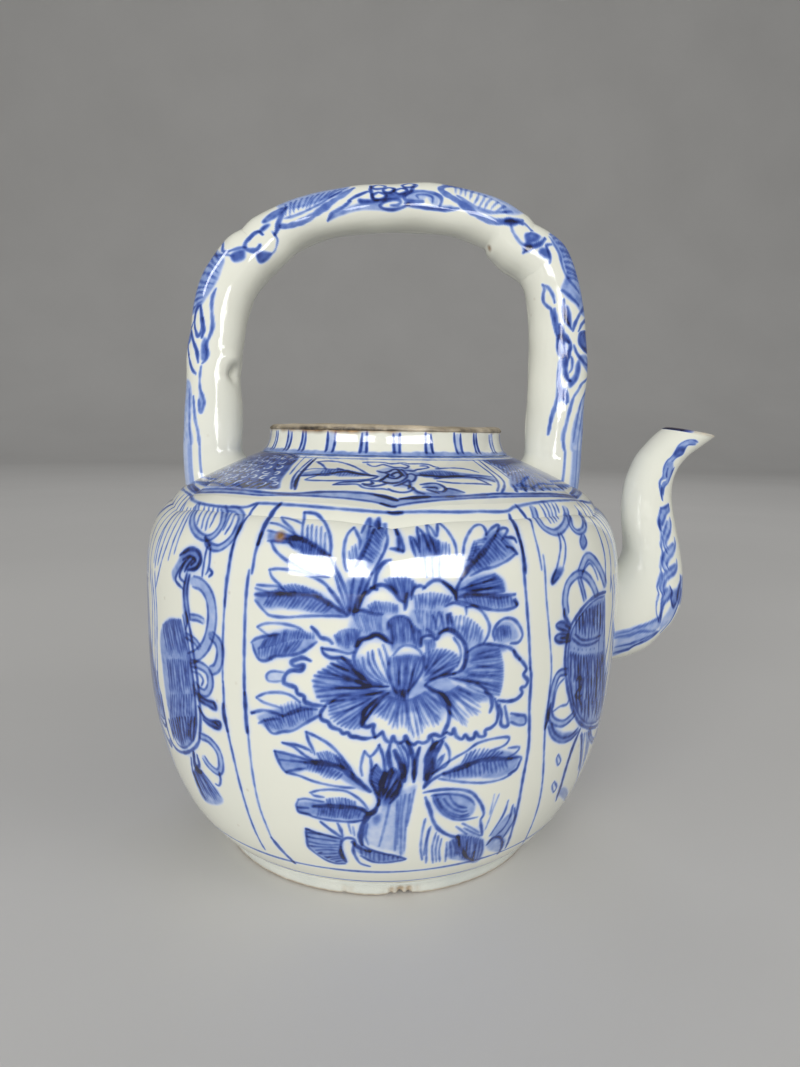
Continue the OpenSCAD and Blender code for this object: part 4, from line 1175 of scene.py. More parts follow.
def lip_material():
    m, n, b = material("worn_lip")
    where = node(n, "TexCoord").outputs["Object"]
    ink = node(n, "Attribute", attribute_name="rust").outputs["Fac"]
    broad, mid, fine = noise(n, where, 90, 4), noise(n, where, 600, 4, 0.6), noise(n, where, 2200, 3, 0.7)
    browns = [
        (0.3, linear(38, 32, 26)),
        (0.45, linear(72, 62, 48)),
        (0.6, linear(112, 100, 78)),
        (0.75, linear(164, 154, 130)),
    ]
    brown = ramp(n, mid, browns)
    pale = mixc(n, fine, linear(206, 194, 172), linear(188, 172, 144))
    cover = mathn(n, "MULTIPLY_ADD", broad, 1.6, -0.5)
    cover = mathn(n, "ADD", cover, ink)
    cover.node.use_clamp = True
    n.links.new(mixc(n, cover, pale, brown), b.inputs["Base Color"])
    n.links.new(ramp(n, mid, [(0.3, grey(0.3)), (0.7, grey(0.6))]), b.inputs["Roughness"])
    bump = node(n, "Bump", Strength=0.4, Distance=0.0003)
    n.links.new(mathn(n, "ADD", fine, mid), bump.inputs["Height"])
    n.links.new(bump.outputs[0], b.inputs["Normal"])
    return m


GLAZE, BISCUIT, LIP = glaze(), foot_material(), lip_material()

# ---------------------------------------------------------------- painting of the body and the shoulder
def bleed(canvas):
    """Cobalt creeps a little way into the glaze round each stroke"""
    canvas.d = 0.92 * canvas.d + 0.17 * blur(canvas.d, round(1.1 / canvas.cell))


BODY_HALF, PANEL_HALF, CELL = 180 * MM_A_DEGREE, 44, 0.15
body = Canvas(-BODY_HALF, BODY_HALF, 0, T + 1, CELL, wrap=True)
flower = Canvas(-PANEL_HALF, PANEL_HALF, 0, T + 1)
flower.paint(front)
bleed(flower)
medal = Canvas(-PANEL_HALF, PANEL_HALF, 0, T + 1)
medal.paint(hanging_right)
medal.paint(hanging_left)
bleed(medal)
for part, spots in ((flower, (-90, 30, 150)), (medal, (-30, 90, -150))):
    for az in spots:
        body.add(round((MM_A_DEGREE * az - PANEL_HALF + BODY_HALF) / CELL), 0, part.d)
# two lines round the foot of the bowl: mm up the wall, width and depth
for t0, w, k in ((12, 0.8, 0.75), (5.6, 0.7, 0.7)):
    turned = (np.arange(body.nx) + 0.5) * CELL / BODY_HALF * math.pi
    y = (np.arange(body.ny) + 0.5) * CELL
    mid = t0 + 0.25 * np.sin(turned * 3) + 0.12 * np.sin(turned * 11)
    half = w / 2 * (1 + 0.25 * np.sin(turned * 14))
    body.d += k * np.clip((half[None] - np.abs(y[:, None] - mid[None])) / 0.25 + 0.5, 0, 1).astype(np.float32)
body.finish(1)

# the shoulder's canvas runs 0.82 mm a degree, from the foot of the band at -3.5 to the neck at 24
DEG = 0.82
dome = Canvas(-180 * DEG, 180 * DEG, -4, 25, 0.15, wrap=True)


def field_outline(side, top, bottom):
    """The outline of a field of the shoulder, from its right side up, in degrees and mm"""
    return np.array(side + [(0, top)] + [(-x, y) for x, y in side[::-1]] + bottom)


CURLS = field_outline([(28.8, 4.7), (26.4, 8.6), (23.8, 15.4), (19, 22.4)], 22.6, [(-14, 3.9), (14, 3.9)])
NET = field_outline([(24, 5.4), (20.5, 12), (19.2, 17), (20, 21)], 21.2, [(0, 4.6)])


def curl_field(az):
    """White curls left out of a dark ground"""
    spot = [az * DEG, 0]
    dome.wash(CURLS * [DEG, 1] + spot, 1.25)
    narrow = lambda y: np.interp(y, [4.7, 8.6, 15.4, 22.4], [27.5, 25.4, 22.6, 18])
    k = 0
    for row in range(6):
        for col in range(-6, 7):
            x, y = (4.3 * col + 2.1 * (row % 2)) * DEG, 6.6 + 2.75 * row
            if abs(x) < narrow(y) * DEG:
                k += 1
                a = np.linspace(0, 4.6, 9) * (1 if k % 3 else -1) + k * 1.3
                r = np.linspace(0.35, 1.55, 9)
                dome.stroke(np.stack([x + r * np.cos(a), y + 0.8 * r * np.sin(a)], 1) + spot, 0.42, -1.6)
                dome.stroke([(x - 0.6 + spot[0], y - 0.8), (x + 0.5 + spot[0], y - 1.5)], 0.6, 1.1)


def net_field(az):
    """Fine crossed diagonals"""
    spot = az * DEG
    dome.wash(NET * [DEG, 1] + [spot, 0], 0.5)
    for k in range(9):
        x = (-18 + 2.3 * k) * DEG + spot
        dome.stroke([(x, 20.8), (x + 0.9, 19.2), (x + 1.3, 17.6)], 0.6, 1.2, (1, 0.4))
    for k in range(-24, 25):
        x = k * 1.55
        for lean in (-1, 1):
            ends = [(x - 8 * lean, 5.2), (x + 8 * lean, 21.2)]
            t = np.linspace(0, 1, 30)
            p = np.stack([ends[0][0] + (ends[1][0] - ends[0][0]) * t, 5.2 + 16 * t], 1)
            p = p[np.abs(p[:, 0]) < np.interp(p[:, 1], NET[:4, 1], NET[:4, 0]) * DEG]
            if len(p) > 3:
                dome.stroke(p[:: max(1, len(p) // 4)] + [spot, 0], 0.32, 1.0)


def dashes(az, pitch):
    for k in range(int(-25 / pitch), int(25 / pitch) + 1):
        x = (az + k * pitch) * DEG
        dash = [(x - 0.7, 4.6), (x + 0.1, 6), (x + 0.9 + 0.3 * math.sin(k), 7.6)]
        dome.stroke(dash, 0.75, 1.35, (0.9, 0.4))


for az in (-90, 30, 150):
    dome.paint(shoulder_leaf, az * DEG, DEG)
for az in (-150, 90):
    curl_field(az)
    dashes(az, 2.6)
net_field(-30)
dashes(-30, 3.5)
for az in (-90, 30, 150):
    dome.paint(shoulder_lines, az * DEG, DEG)
# strokes that run from the bowl up over the band
up_band = BAND_H / BAND_RUN
over_band = [(az, front) for az in (-90, 30, 150)]
over_band += [(az, rows) for az in (-30, 90, -150) for rows in (hanging_right, hanging_left)]
for az, rows in over_band:
    dome.paint(rows, az * DEG, DEG / MM_A_DEGREE, up_band, -BAND_H - T * up_band, 0.8, -4)
dome.finish(2)


def bowl_ink(p):
    az = np.degrees(np.arctan2(p[..., 1], p[..., 0]))
    z = p[..., 2]
    t = np.interp(z, z_run, t_run)
    ink = body.sample(MM_A_DEGREE * az, t)
    return ink * (z < RIDGE_Z + 0.5)


def dome_ink(p, y):
    az = np.degrees(np.arctan2(p[..., 1], p[..., 0]))
    return dome.sample(DEG * az, y)


def blot(p, x, y, z, r):
    """A soft spot round a point"""
    d = np.linalg.norm(p - np.array([x, y, z]), axis=-1)
    return np.clip(1.4 - d / r, 0, 1)


COLS = 1404
az_fine = np.arange(COLS) * 360 / COLS - 180


def ring(r, h):
    """Points round the pot at radius r and height h"""
    a = np.radians(az_fine)
    return np.stack([r * np.cos(a), r * np.sin(a), 0 * a + h], -1)[None]


# ---------------------------------------------------------------- pieces of the pot
# bowl: the outside from the heel up to the ridge, then the inside back down
t_rows = np.linspace(0, T, 350)
out = stack(bowl_xyz, az_fine, np.interp(t_rows, t_run, z_run))
ink = bowl_ink(out)
z_in = np.linspace(RIDGE_Z, 12, 26)
inn = stack(lambda a, z: bowl_xyz(a, z, -WALL), az_fine, z_in)
low = np.concatenate([ring(q, h) for q, h in ((HEEL - WALL - 2.5, 9.4), (43.2, 9.0), (43.2, FOOT_H))])
bowl = Piece("bowl")
# a brown flaw in the glaze at the upper left of the front panel, mm
FAULT = (-26.0, -58.9, 95.2)
p = np.concatenate([out, inn, low])
ink = np.concatenate([ink, np.zeros((len(inn) + len(low), COLS))])
spots = blot(p, *FAULT, 1.3)
bowl.shell(p, len(out), ink, spots, (3, 2), 0.05)
bowl.make(GLAZE, "glaze", "bowl_lower", "bowl_upper")

# the moulded ridge
u = np.linspace(0, 1, 15)
out = stack(band_xyz, az_fine, u)
ink = dome_ink(out, (out[..., 2] - BAND_TOP))
inn = stack(band_xyz, az_fine, np.array([1, 0.5, 0]), -WALL)
ridge = Piece("ridge")
p = np.concatenate([out, inn])
ink = np.concatenate([ink, np.zeros((3, COLS))])
ridge.shell(p, len(out), ink, None, (1, 6), 0.1)
ridge.make(GLAZE, "glaze", "ridge_band")

# shoulder
s_rows = np.linspace(0, 1, 84)
out = stack(dome_xyz, az_fine, s_rows)
az2, s2 = np.meshgrid(az_fine, s_rows)
ink = dome.sample(DEG * az2, DOME_RUN * s2 + notch(az2) * (1 - s2) ** 2)
seat = [
    (NECK + 0.2, SHOULDER_TOP),
    (MOUTH + 0.4, SHOULDER_TOP),
    (MOUTH + 0.4, SHOULDER_TOP - 2.2),
    (NECK, SHOULDER_TOP - WALL),
]
under = [ring(q, h) for q, h in seat] + [stack(dome_xyz, az_fine, [s], 0.0, WALL) for s in (0.7, 0.4, 0.2)]
under += [stack(dome_xyz, az_fine, [0.06], -3.0, 1.2), stack(dome_xyz, az_fine, [0.0], -3.4, 0.0)]
p = np.concatenate([out] + under)
ink = np.concatenate([ink, np.zeros((len(p) - len(out), COLS))])
shoulder = Piece("shoulder")
shoulder.shell(p, len(out), ink, None, (2, 3), 0.12)
shoulder.make(GLAZE, "glaze", "shoulder")

# neck
H = 6.1
collar = Canvas(-113, 113, -1, 8, 0.12, wrap=True)
# degrees round the neck: read from the photo where it shows the neck, then one pair every 14
PAIRS = [-168, -155, -142, -132, -117, -102, -88, -74, -59, -48, -34, -18] + list(range(-4, 180, 14))
for k, a in enumerate(PAIRS):
    x = a * 113 / 180
    gap = 1.7 + 0.3 * math.sin(k * 1.9)
    for g in (-gap / 2, gap / 2):
        lean = 0.25 * math.sin(k * 3.1 + g)
        tip = (x + g + lean, 5.7 + 0.3 * math.sin(k * 5 + g))
        collar.stroke([(x + g, 0.9), (x + g + lean * 0.6, 3), tip], 0.68, 1.15, (1, 0.5))
    collar.stroke([(x, 1.2), (x, 5.2)], 1.5, 0.16, (0.9, 0.9))
xs = np.linspace(-112.9, 112.9, 120)
collar.stroke(np.stack([xs, 0.15 + 0.12 * np.sin(xs / 9)], 1), 1.5, 0.42, (1, 1))
collar.finish(3)
rows = np.linspace(0, 1, 28)


def neck_xyz(a, u):
    r = NECK - 2.2 * u * H / 7.7 - 0.5 * np.sin(math.pi * u) + 0.5 * (1 - smooth(u, 0, 0.2))
    return r * np.cos(np.radians(a)), r * np.sin(np.radians(a)), SHOULDER_TOP + H * u


out = stack(neck_xyz, az_fine, rows)
a2, u2 = np.meshgrid(az_fine, rows)
ink = collar.sample(a2 / 180 * 113, u2 * H)
bore = [(MOUTH + 1.2, H), (MOUTH, H - 0.4), (MOUTH, 2), (MOUTH, 0)]
inner = [ring(q, SHOULDER_TOP + h) for q, h in bore]
p = np.concatenate([out] + inner)
ink = np.concatenate([ink, np.zeros((4, COLS))])
neck = Piece("neck")


def stain_side(a):
    """The lip is brownest at the front left"""
    ripple = 0.14 * np.sin(np.radians(a) * 19) + 0.12 * np.sin(np.radians(a) * 43)
    return 0.3 + 0.7 * np.exp(-(((a + 112) / 32) ** 2)) + 0.15 * np.sin(np.radians(a) * 2 + 1) + ripple


drip = stain_side(a2)
stain = np.concatenate([smooth(u2, 0.98 - 0.2 * drip, 1.02) * np.clip(drip, 0, 1), np.zeros((4, COLS))])
neck.shell(p, len(out), ink, stain, (1, 6), 0.18)
neck.make(GLAZE, "glaze", "neck_collar")

# lip, bare and worn, with a soft uneven edge
top_r = NECK - 2.2 * H / 7.7
lip = Piece("lip")
section = [
    (MOUTH, 0), (top_r, 0), (top_r + 0.15, 0.5), (top_r - 0.15, 1.05), (top_r - 0.7, 1.45),
    (top_r - 1.5, 1.6), (MOUTH + 1.4, 1.6), (MOUTH + 0.5, 1.4), (MOUTH, 0.9),
]


def lip_ring(r, h):
    """A ring of the lip, which is wavy above its foot"""
    a = np.radians(az_fine)
    wavy = r + 0.12 * np.sin(a * 23) * (h > 0.4)
    rise = (0.16 * np.sin(a * 3 + 1) + 0.07 * np.sin(a * 17)) * (h > 0.8)
    return np.stack([wavy * np.cos(a), wavy * np.sin(a), SHOULDER_TOP + H + h + rise], -1)[None]


rings = [lip_ring(q, h) for q, h in section]
p = np.concatenate(rings)
a2 = np.broadcast_to(az_fine, p.shape[:2])
h2 = p[..., 2] - SHOULDER_TOP - H
dark = (1 - smooth(h2, 0.75, 1.25)) * stain_side(a2)
lip.grid(p, None, dark, wrap_u=True, wrap_v=True, cuts=6, lay=(1, 6))
lip.make(LIP, "bare_lip", "mouth_lip")

# foot ring with its worn edge and the chip
foot = Piece("foot")
section = [
    (FOOT - 5.2, FOOT_H), (FOOT - 4.9, 2), (FOOT - 4.7, 0.6), (FOOT - 4.1, 0.05), (FOOT - 2.4, 0),
    (FOOT - 0.9, 0.05), (FOOT - 0.25, 0.4), (FOOT, 1.1), (FOOT + 0.1, 2.2), (FOOT + 0.25, 3.4),
    (FOOT + 0.8, FOOT_H),
]
rings = []
for q, h in section[::-1]:
    chip = np.exp(-(((az_fine + 85.5) / 4.2) ** 2)) * 1.1 + 0.35 * np.exp(-(((az_fine + 103) / 2) ** 2))
    chip = chip * (0.7 + 0.3 * np.sin(az_fine * 2.1))
    lift = chip * (h < 1.5)
    q2 = q - 0.7 * chip * (h < 3) * (q > FOOT - 2)
    a = np.radians(az_fine)
    rings.append(np.stack([q2 * np.cos(a), q2 * np.sin(a), h + lift], -1)[None])
p = np.concatenate(rings)
bare = 1 - smooth(p[..., 2], 0.3, 1.0)
inside = np.hypot(p[..., 0], p[..., 1]) < FOOT - 3
chipped = np.maximum(np.maximum(bare, inside), np.clip(chip * 1.3, 0, 1)[None] * (p[..., 2] < 2.4))
foot.grid(p[:, ::-1], None, chipped[:, ::-1], wrap_u=True, wrap_v=True, cuts=6, lay=(1, 6))
foot.make(BISCUIT, "bare_foot", "foot_ring")

# floor of the bowl
base = Piece("base")
n = 180
a = np.linspace(-math.pi, math.pi, n, endpoint=False)
section = [
    (0.05, FOOT_H + 0.2), (12, FOOT_H + 0.15), (26, FOOT_H + 0.1), (38, FOOT_H), (42, FOOT_H),
    (43.1, FOOT_H + 0.4), (43.1, 8.6), (42, 9), (30, 8.9), (14, 8.7), (0.05, 8.6),
]
p = np.stack([np.stack([q * np.cos(a), q * np.sin(a), 0 * a + h], -1) for q, h in section])
base.grid(p, None, None, wrap_u=True, cuts=2, lay=(1, 2))
base.make(GLAZE, "glaze", "base_floor")

# ---------------------------------------------------------------- handle and spout
LEG_X, LEG_T, ARCH_T, HANDLE_W, SPRING, SQUARE = 50.62, 16.4, 12.4, 14.6, 135.0, 2.5
ARCH_B = 188 - ARCH_T / 2 - SPRING
FOOT_Z = SHOULDER_TOP + 0.9
# The thrown handle is not quite even. Length along it in mm, how far it strays outward there, and
# half its thickness, typed in from a scratch script's measurements of its edges in the photo
STRAY = [
    (0, 0, 8.5), (14, 0.2, 8.55), (26, 0.4, 8.7), (34, 0.55, 8.4), (42, 1.55, 8.0),
    (50, 2.9, 7.95), (54, 3.25, 8.1), (58, 2.2, 7.8), (62, 1.0, 7.7), (66, 1.65, 8.0),
    (68, 2.1, 7.2), (70, 2.3, 6.9), (78, 1.7, 6.6), (90, 1.1, 6.65), (102, 0.2, 6.35),
    (114, -0.65, 6.3), (124, -1.0, 6.3), (132, -1.3, 6.8), (138, -1.7, 7.5), (142, -2.3, 7.2),
    (146, -1.55, 8.0), (156, -0.9, 7.9), (164, -1.1, 7.85), (170, -1.4, 7.6), (178, -0.75, 7.8),
    (182, -0.4, 7.6), (190, -0.45, 8.2), (202, 0, 8.5),
]
JOINT_FRONT, JOINT_REAR = 53.85, 148.24

HANDLE = """
s .8 .75 0,79 2,83 5,84.5 8,81 12,76 16,68 18,58 20,48 21,35 22,18 22,0
s .6 .5 3,62 8,58 12,52 15,45 17,33 18,15 18,0
s .5 .45 0,46 5,46 10,40 13,32 14,15 14,0
s .5 .4 0,30 5,29 8,20 9,0
w .38 0,0 0,60 4,68 9,64 13,54 16,42 19,25 19,0
s .9 .85 5,112 10,107 14,100 18,96 22,98 26,95 28,92
s .7 .9 14,83 15.6,87.5 18,88.5
s .7 .8 14.5,80 16.5,82 18.6,86
w .45 14,96 15.5,88 18,89 19,95 16,97.5
w 1 18.6,78 20,68 21.5,61 24,57 26.5,60 25.5,66 23,68 21.5,74 20.6,80
s .9 1.35 20.6,77 21.2,83 23.5,87.5 26,87 28.4,83 29.8,79.5 31.2,80.5 33,87 34,92 36.5,96
s .6 1 23,80 24.2,76 26.5,76 27.4,79
s .7 1.05 27,92.5 28,97 30,100.5 33,100.5 33.6,97
s .6 .9 27,92 29,89.6 31,91 33,96 32.4,100
w .4 28,93 31,92 33,97 31,100
s .75 1 31.2,82 32,88 33,93.5 35,99 38,103 41,104
s .8 1.05 33.5,101 36,106 39,109 41,111 42,118 43.5,125 45.5,123 47,118 48.5,119.5
s .7 .95 48.3,119 47.2,110 45,104 42.5,102
w 1.15 35.8,76 39,76.5 41.2,82 39.6,86.5 36.6,84.5
s .8 1.3 35,75 36.6,82 38,86.5 40.4,88 43,86
w .55 39,0 38.5,38 41,60 44,82 46,86 47.4,78 49.4,67 53,62 56,50 57,25 57,0
s .8 .85 41,52 43,68 45.4,86
s .7 .8 44,42 47,64 50,71 54,63 57,48
h 9 .55 .7 : 48,66 52,60 57,40 : 46,20 51,18 56,5
s 1 1.3 29.5,0 29,25 29.8,48 31.5,58 33.8,50 34.4,25 34,0
w 1.2 29.8,0 29.6,30 30.4,50 32.4,54 33.8,40 33.8,0
s .8 1.1 36.5,0 37.4,22 36.4,45 34.4,58
s .9 1 39.5,0 40.2,28 39,50 36.6,66 34.5,72
s .8 1 25.8,0 25.4,30 26.6,52 28.4,66 30.5,72
w .6 22.6,10 24.4,40 27,60 28,40 26,10
w 1.1 54,87 55.4,79 57,84 57,92 55.2,92
s .7 1 53,91 55,80.5 56.4,73 55.6,62
s 1 1.3 57.6,60 57.8,75 58.4,84 59.8,95 60.6,108
w 1.05 58.6,62 60.6,64 62.6,72 63,80 61.2,88 61.2,100 60.4,104 59,95 60,86 58.8,76
s .7 .9 61,60 64.5,62 67,70
s .6 .7 59.5,92 62,95 65.5,92 67.5,86
w .9 66.2,74 68.4,77 69.2,90 67,86
s .8 1.05 65.2,68 67.4,76 69,87
s 1.7 .78 66,60 67.4,75 69,88 71,97 74,101 77,98 80,90 83,80 86,68 87.4,55 86,38 82,18 80,0
s .9 .6 70,70 73,84 77,86 80,79 83,68
h 10 .6 .62 : 69,58 73,50 78,40 84,20 : 71,80 75,85 79,80 83.5,62
w .4 67,20 68,58 70,72 72,55 78,48 84,40 87,30 84,10 75,5
s 1 .8 82,95.5 84,100 86,104 89,104.5 92,103 95,100 97,95
w .55 83.5,93 86,95.5 89,99 93,98.5 96.5,95 97,100 92,105 86,105
s 1 .85 87.4,98 87,88 87.4,78 89,71.5 92,68 95,70 97,78 97,88 95,92.5 92,91
s .6 .8 89.4,91 89.6,81 91.5,76.5 93.8,79 93.4,85
w .3 88,95 88,76 92,70 96,76 96,90 92,88 91,80 90,92
s .9 1.25 94.2,42 94.8,58 95.4,70 96.8,81
s .8 1.3 98,58.5 99.8,66 98.6,75.4 96.6,70 96.6,61.5 98,58.5
s .8 1.3 101.4,52 102.8,60 102.2,69 100.4,68 99.8,58 101.4,52
s .8 1.3 104.2,67 106,75 105.4,85 103,84 102.2,75 104.2,67
s .8 1.2 95.6,34 97.4,44 96.8,55 94.4,54 93.8,44 95.6,34
s .8 1.2 104,36 105.8,46 105,56 102.8,54 102.2,44 104,36
w 1 96.6,72 98.6,77 100.6,71 102.2,76 103,86 106,90 101,88 98,84 96.8,79
s .8 .95 96,95 98,104 101,108 103.2,104 104,97 102.4,89 100,86.4 98.2,91 99.2,98 101,98
w .55 97,100 100,111 104,108 110,104 116,111 119.2,118 118,108 114,98 110,92 104,94 103,104
w 1.35 103,88 106,90 109.4,90.5 109.8,82 108,84.5 105,86
s .9 1.3 106,40 106.2,60 105.8,80
s .8 1.25 107,63 109,69.5 111,76 112.6,83
s .9 1 112,84 114,92 116,98 118,104.5 119.4,118
s 1.7 .8 110.6,45 113,61 116,74 119,86 122,95 125,101 128,102 131,98 133,91.5
s .6 .75 114,52 117,64 120,76 124,84 128,86 131,83
h 12 .45 .75 : 112.5,38 118,40 124,44 129,46 : 118,68 121.6,78 126,84 130.4,80
w .4 111,20 113,54 118,68 124,73 129,66 131,50 129,20
s 1.2 1.05 129,58 131,72 132.6,82 134.2,92 135.8,98
w .95 129.8,54 133,52 136.2,60 136,68 132,71 130,64
w 1.2 135,77 137,72 138.5,77 136.8,80
s 1 1.15 138.4,84 138.8,73 141.4,68.5 144,73.5 144.9,85 143,95 141,93
s .5 .8 135.8,91 135.8,107 137,116 139,122.5 141,123
w 1.25 140.4,122 142.4,100 143.4,103 144,118 142.2,125
w 1.1 145.4,85 147,77.5 149,73 149.6,86 147,93
s .7 .95 144.8,82 147,71 149,59 149.2,46 148,30 147,0
s .6 .8 151.2,0 151,40 149.6,62 149,74
w .5 150,0 150.4,60 153,72 156,76 159,72 163,61 165,48 166,20 166,0
h 9 .6 .7 : 150.5,20 155,22 160,20 165,15 : 152,68 155.4,74 158.6,71 162.6,58
s .75 .9 158.4,80 161,78.5 164,82 167,86 169,86.5 172,83 174,79.5 176,84 178,82.5 179.2,76
w .75 172,74 174,70 178,74 178,82 174,82.5
s .9 1.35 166.6,66 169.8,70 172.2,67.5
s .9 1.2 163.6,56 164.4,47 167,41 170,45 172,57 170.2,64 166,62 163.8,57
s 1 1.25 171,30 173.6,46 176,60 179,66.5
s .9 1.2 177,34 180.6,48 182,62
s .8 1.1 168.5,0 169.4,22 167.8,36
s .9 1.2 174,0 174.6,20 177.2,36
w .9 169,0 170,28 174,32 175,0
s .65 .85 180,74 183,72 186,72.5 188,78 190,81 192.6,76 192,72 189,69.5
w .45 186.5,72 189,70 192.4,74 190,80
w .38 183,0 184,42 190,52 196,52 202,56 202,0
s .8 .7 188,56 192,60 195,64 198,70 202,74
s .6 .5 186,40 192,46 198,50 202,54
"""
# the canvas's mm for each degree round the handle from its outer crest, the same on both faces
GRIP_DEGREE = 0.13
grip = Canvas(0, 203, -1, 25, 0.12)
grip.paint(strokes(HANDLE), 0, 1, GRIP_DEGREE)
grip.d *= 0.8
grip.finish(4)


def centreline():
    """Points up the +X leg, over the arch and down the other leg, with their length from the start"""
    a = np.radians(np.linspace(0, 180, 2400))
    c, s = np.cos(a), np.maximum(np.sin(a), 0)
    x = LEG_X * np.sign(c) * np.abs(c) ** (2 / SQUARE)
    arch = np.stack([x, 0 * a, SPRING + ARCH_B * s ** (2 / SQUARE)], -1)
    z = np.linspace(FOOT_Z, SPRING, 80)[:-1]
    leg = np.stack([0 * z + LEG_X, 0 * z, z], -1)
    p = np.vstack([leg, arch, (leg * [-1, 1, 1])[::-1]])
    return p, np.r_[0, np.cumsum(np.linalg.norm(np.diff(p, axis=0), axis=1))]


def direction(p):
    d = np.gradient(p, axis=0)
    d /= np.linalg.norm(d, axis=1)[:, None]
    return np.stack([d[:, 2], 0 * d[:, 0], -d[:, 0]], -1)


line, line_s = centreline()
HANDLE_LEN = line_s[-1]
hs = np.linspace(0, HANDLE_LEN, 600)
mid = np.stack([np.interp(hs, line_s, line[:, k]) for k in range(3)], -1)
table = np.array(STRAY)
fine_s = np.arange(-6, HANDLE_LEN + 6, 0.25)
kernel = np.hanning(13) / np.hanning(13).sum()


def smoothed(column):
    """A column of the table all along the handle, with its corners rounded off"""
    steps = np.interp(fine_s, table[:, 0], table[:, column])
    return np.interp(hs, fine_s, np.convolve(steps, kernel, "same"))


stray, thick = smoothed(1), smoothed(2)
mid = mid + direction(mid) * stray[:, None]
out_dir = direction(mid)
AROUND = 144
hb = np.linspace(-math.pi, math.pi, AROUND, endpoint=False)
cb, sb = np.cos(hb), np.sin(hb)
ex, ey = np.sign(cb) * np.abs(cb) ** 0.91, np.sign(sb) * np.abs(sb) ** 0.91
joint = np.exp(-(((hs - 57.5) / 6) ** 2)) + np.exp(-(((hs - 145) / 6) ** 2))
wide = HANDLE_W / 2 + 0.45 * joint
round_deg = np.degrees(np.abs(hb))
# the firing vent, pressed into the inner face of the rear leg, and small hand-made waves
S2, B2 = np.meshgrid(hs, np.degrees(hb), indexing="ij")
vent = np.exp(-(((S2 - 181) / 2.6) ** 2) - (((B2 + 148) / 17) ** 2))
burr = np.exp(-(((S2 - 176.5) / 2) ** 2) - (((B2 + 140) / 25) ** 2))
dent = -1.9 * vent + 0.5 * burr
dent = dent + 0.09 * np.sin(S2 * 0.37 + B2 * 0.03) + 0.07 * np.sin(S2 * 0.21 - B2 * 0.05 + 2)
tube = mid[:, None] + out_dir[:, None] * ((thick[:, None] + dent) * ex)[..., None]
tube = tube + np.array([0, 1, 0]) * ((wide[:, None] + dent) * ey)[..., None]


def on_grip(s, b):
    """The handle's surface at s along it and b degrees round it, without the small waves"""
    at, way = (np.array([np.interp(s, hs, v) for v in q.T]) for q in (mid, out_dir))
    c, d = math.cos(math.radians(b)), math.sin(math.radians(b))
    c, d = math.copysign(abs(c) ** 0.91, c), math.copysign(abs(d) ** 0.91, d)
    return at + way * np.interp(s, hs, thick) * c + np.array([0, 1, 0]) * np.interp(s, hs, wide) * d


grip_ink = grip.sample(*np.broadcast_arrays(hs[:, None], round_deg * GRIP_DEGREE))
flaw = blot(tube, *tube[np.abs(hs - 67.5).argmin(), np.abs(hb + 2.75).argmin()], 0.9) * 0.8


def handle_piece(name, first, last, nodes, toe=0):
    """The rings from first to last mm; toe is +1 or -1 at the end that spreads on to the shoulder"""
    keep = slice(np.abs(hs - first).argmin(), np.abs(hs - last).argmin() + 1)
    p, ink, rust = tube[keep], grip_ink[keep], flaw[keep]
    if toe:
        near = p[0] if toe > 0 else p[-1]
        x = toe * (LEG_X - 1.2) + (LEG_T / 2 + 0.7) * ex * toe
        y = (HANDLE_W / 2 + 2.4) * ey
        r, az = np.hypot(x, y), np.degrees(np.arctan2(y, x))
        base = RIDGE + 2 * crest(az) - LEAN
        s = (base - r) / (base - NECK)
        z = BAND_TOP + RISE * np.where(s > 0, 1.18 * s - 0.18 * s * s, 2.4 * s) - 0.35
        foot = np.stack([x, y, z], -1)
        rows = []
        for t in np.linspace(0, 1, 22)[:-1]:
            w = (1 - t) ** 2.6
            q = near + (foot - near) * w
            q[:, 2] = foot[:, 2] + (near[:, 2] - foot[:, 2]) * t
            rows.append(q)
        rows = np.stack(rows)
        side = ink[:1] if toe > 0 else ink[-1:]
        extra = np.repeat(side, len(rows), 0)
        if toe > 0:
            p = np.concatenate([rows, p])
            ink = np.concatenate([extra, ink])
            rust = np.concatenate([extra * 0, rust])
        else:
            p = np.concatenate([p, rows[::-1]])
            ink = np.concatenate([ink, extra])
            rust = np.concatenate([rust, extra * 0])
    o = Piece(name)
    o.grid(p, ink, rust, wrap_u=True, box=(0, 0, 0.97, 0.97))
    o.cap(p[0], p[0].mean(0), flip=True, box=(0.975, 0, 0.985, 0.01))
    o.cap(p[-1], p[-1].mean(0), box=(0.975, 0.02, 0.985, 0.03))
    return o.make(GLAZE, "glaze", *nodes)


handle_piece("leg_front", 0, JOINT_FRONT, ["leg_foot_front", "handle_leg_front"], 1)
handle_piece("leg_rear", JOINT_REAR, HANDLE_LEN, ["leg_foot_rear", "handle_leg_rear"], -1)
handle_piece("arch", JOINT_FRONT, JOINT_REAR, ["joint_front", "joint_rear", "handle_arch"])

# Spout stations in its own plane: under x and z, upper x and z, and half width
SPOUT = np.array([
    (70.2, 49.6, 70.2, 76.0, 11.0), (75.5, 50.2, 70.6, 77.4, 10.7), (82.0, 52.8, 73.2, 80.2, 10.2),
    (86.8, 57.3, 74.5, 83.8, 9.5), (90.6, 61.5, 74.3, 87.2, 9.0), (93.0, 67.5, 73.7, 90.5, 8.4),
    (93.1, 75.0, 73.2, 94.0, 8.0), (91.8, 83.0, 73.0, 97.5, 7.5), (89.8, 91.5, 73.1, 101.5, 7.1),
    (88.1, 99.5, 73.7, 105.4, 6.7), (88.0, 105.0, 75.0, 109.1, 6.5), (89.4, 109.3, 76.7, 112.8, 6.3),
    (92.3, 113.0, 79.3, 116.2, 6.2), (96.5, 116.1, 82.0, 119.2, 6.0), (100.4, 118.9, 84.6, 121.4, 5.6),
])
AROUND_SPOUT = 144
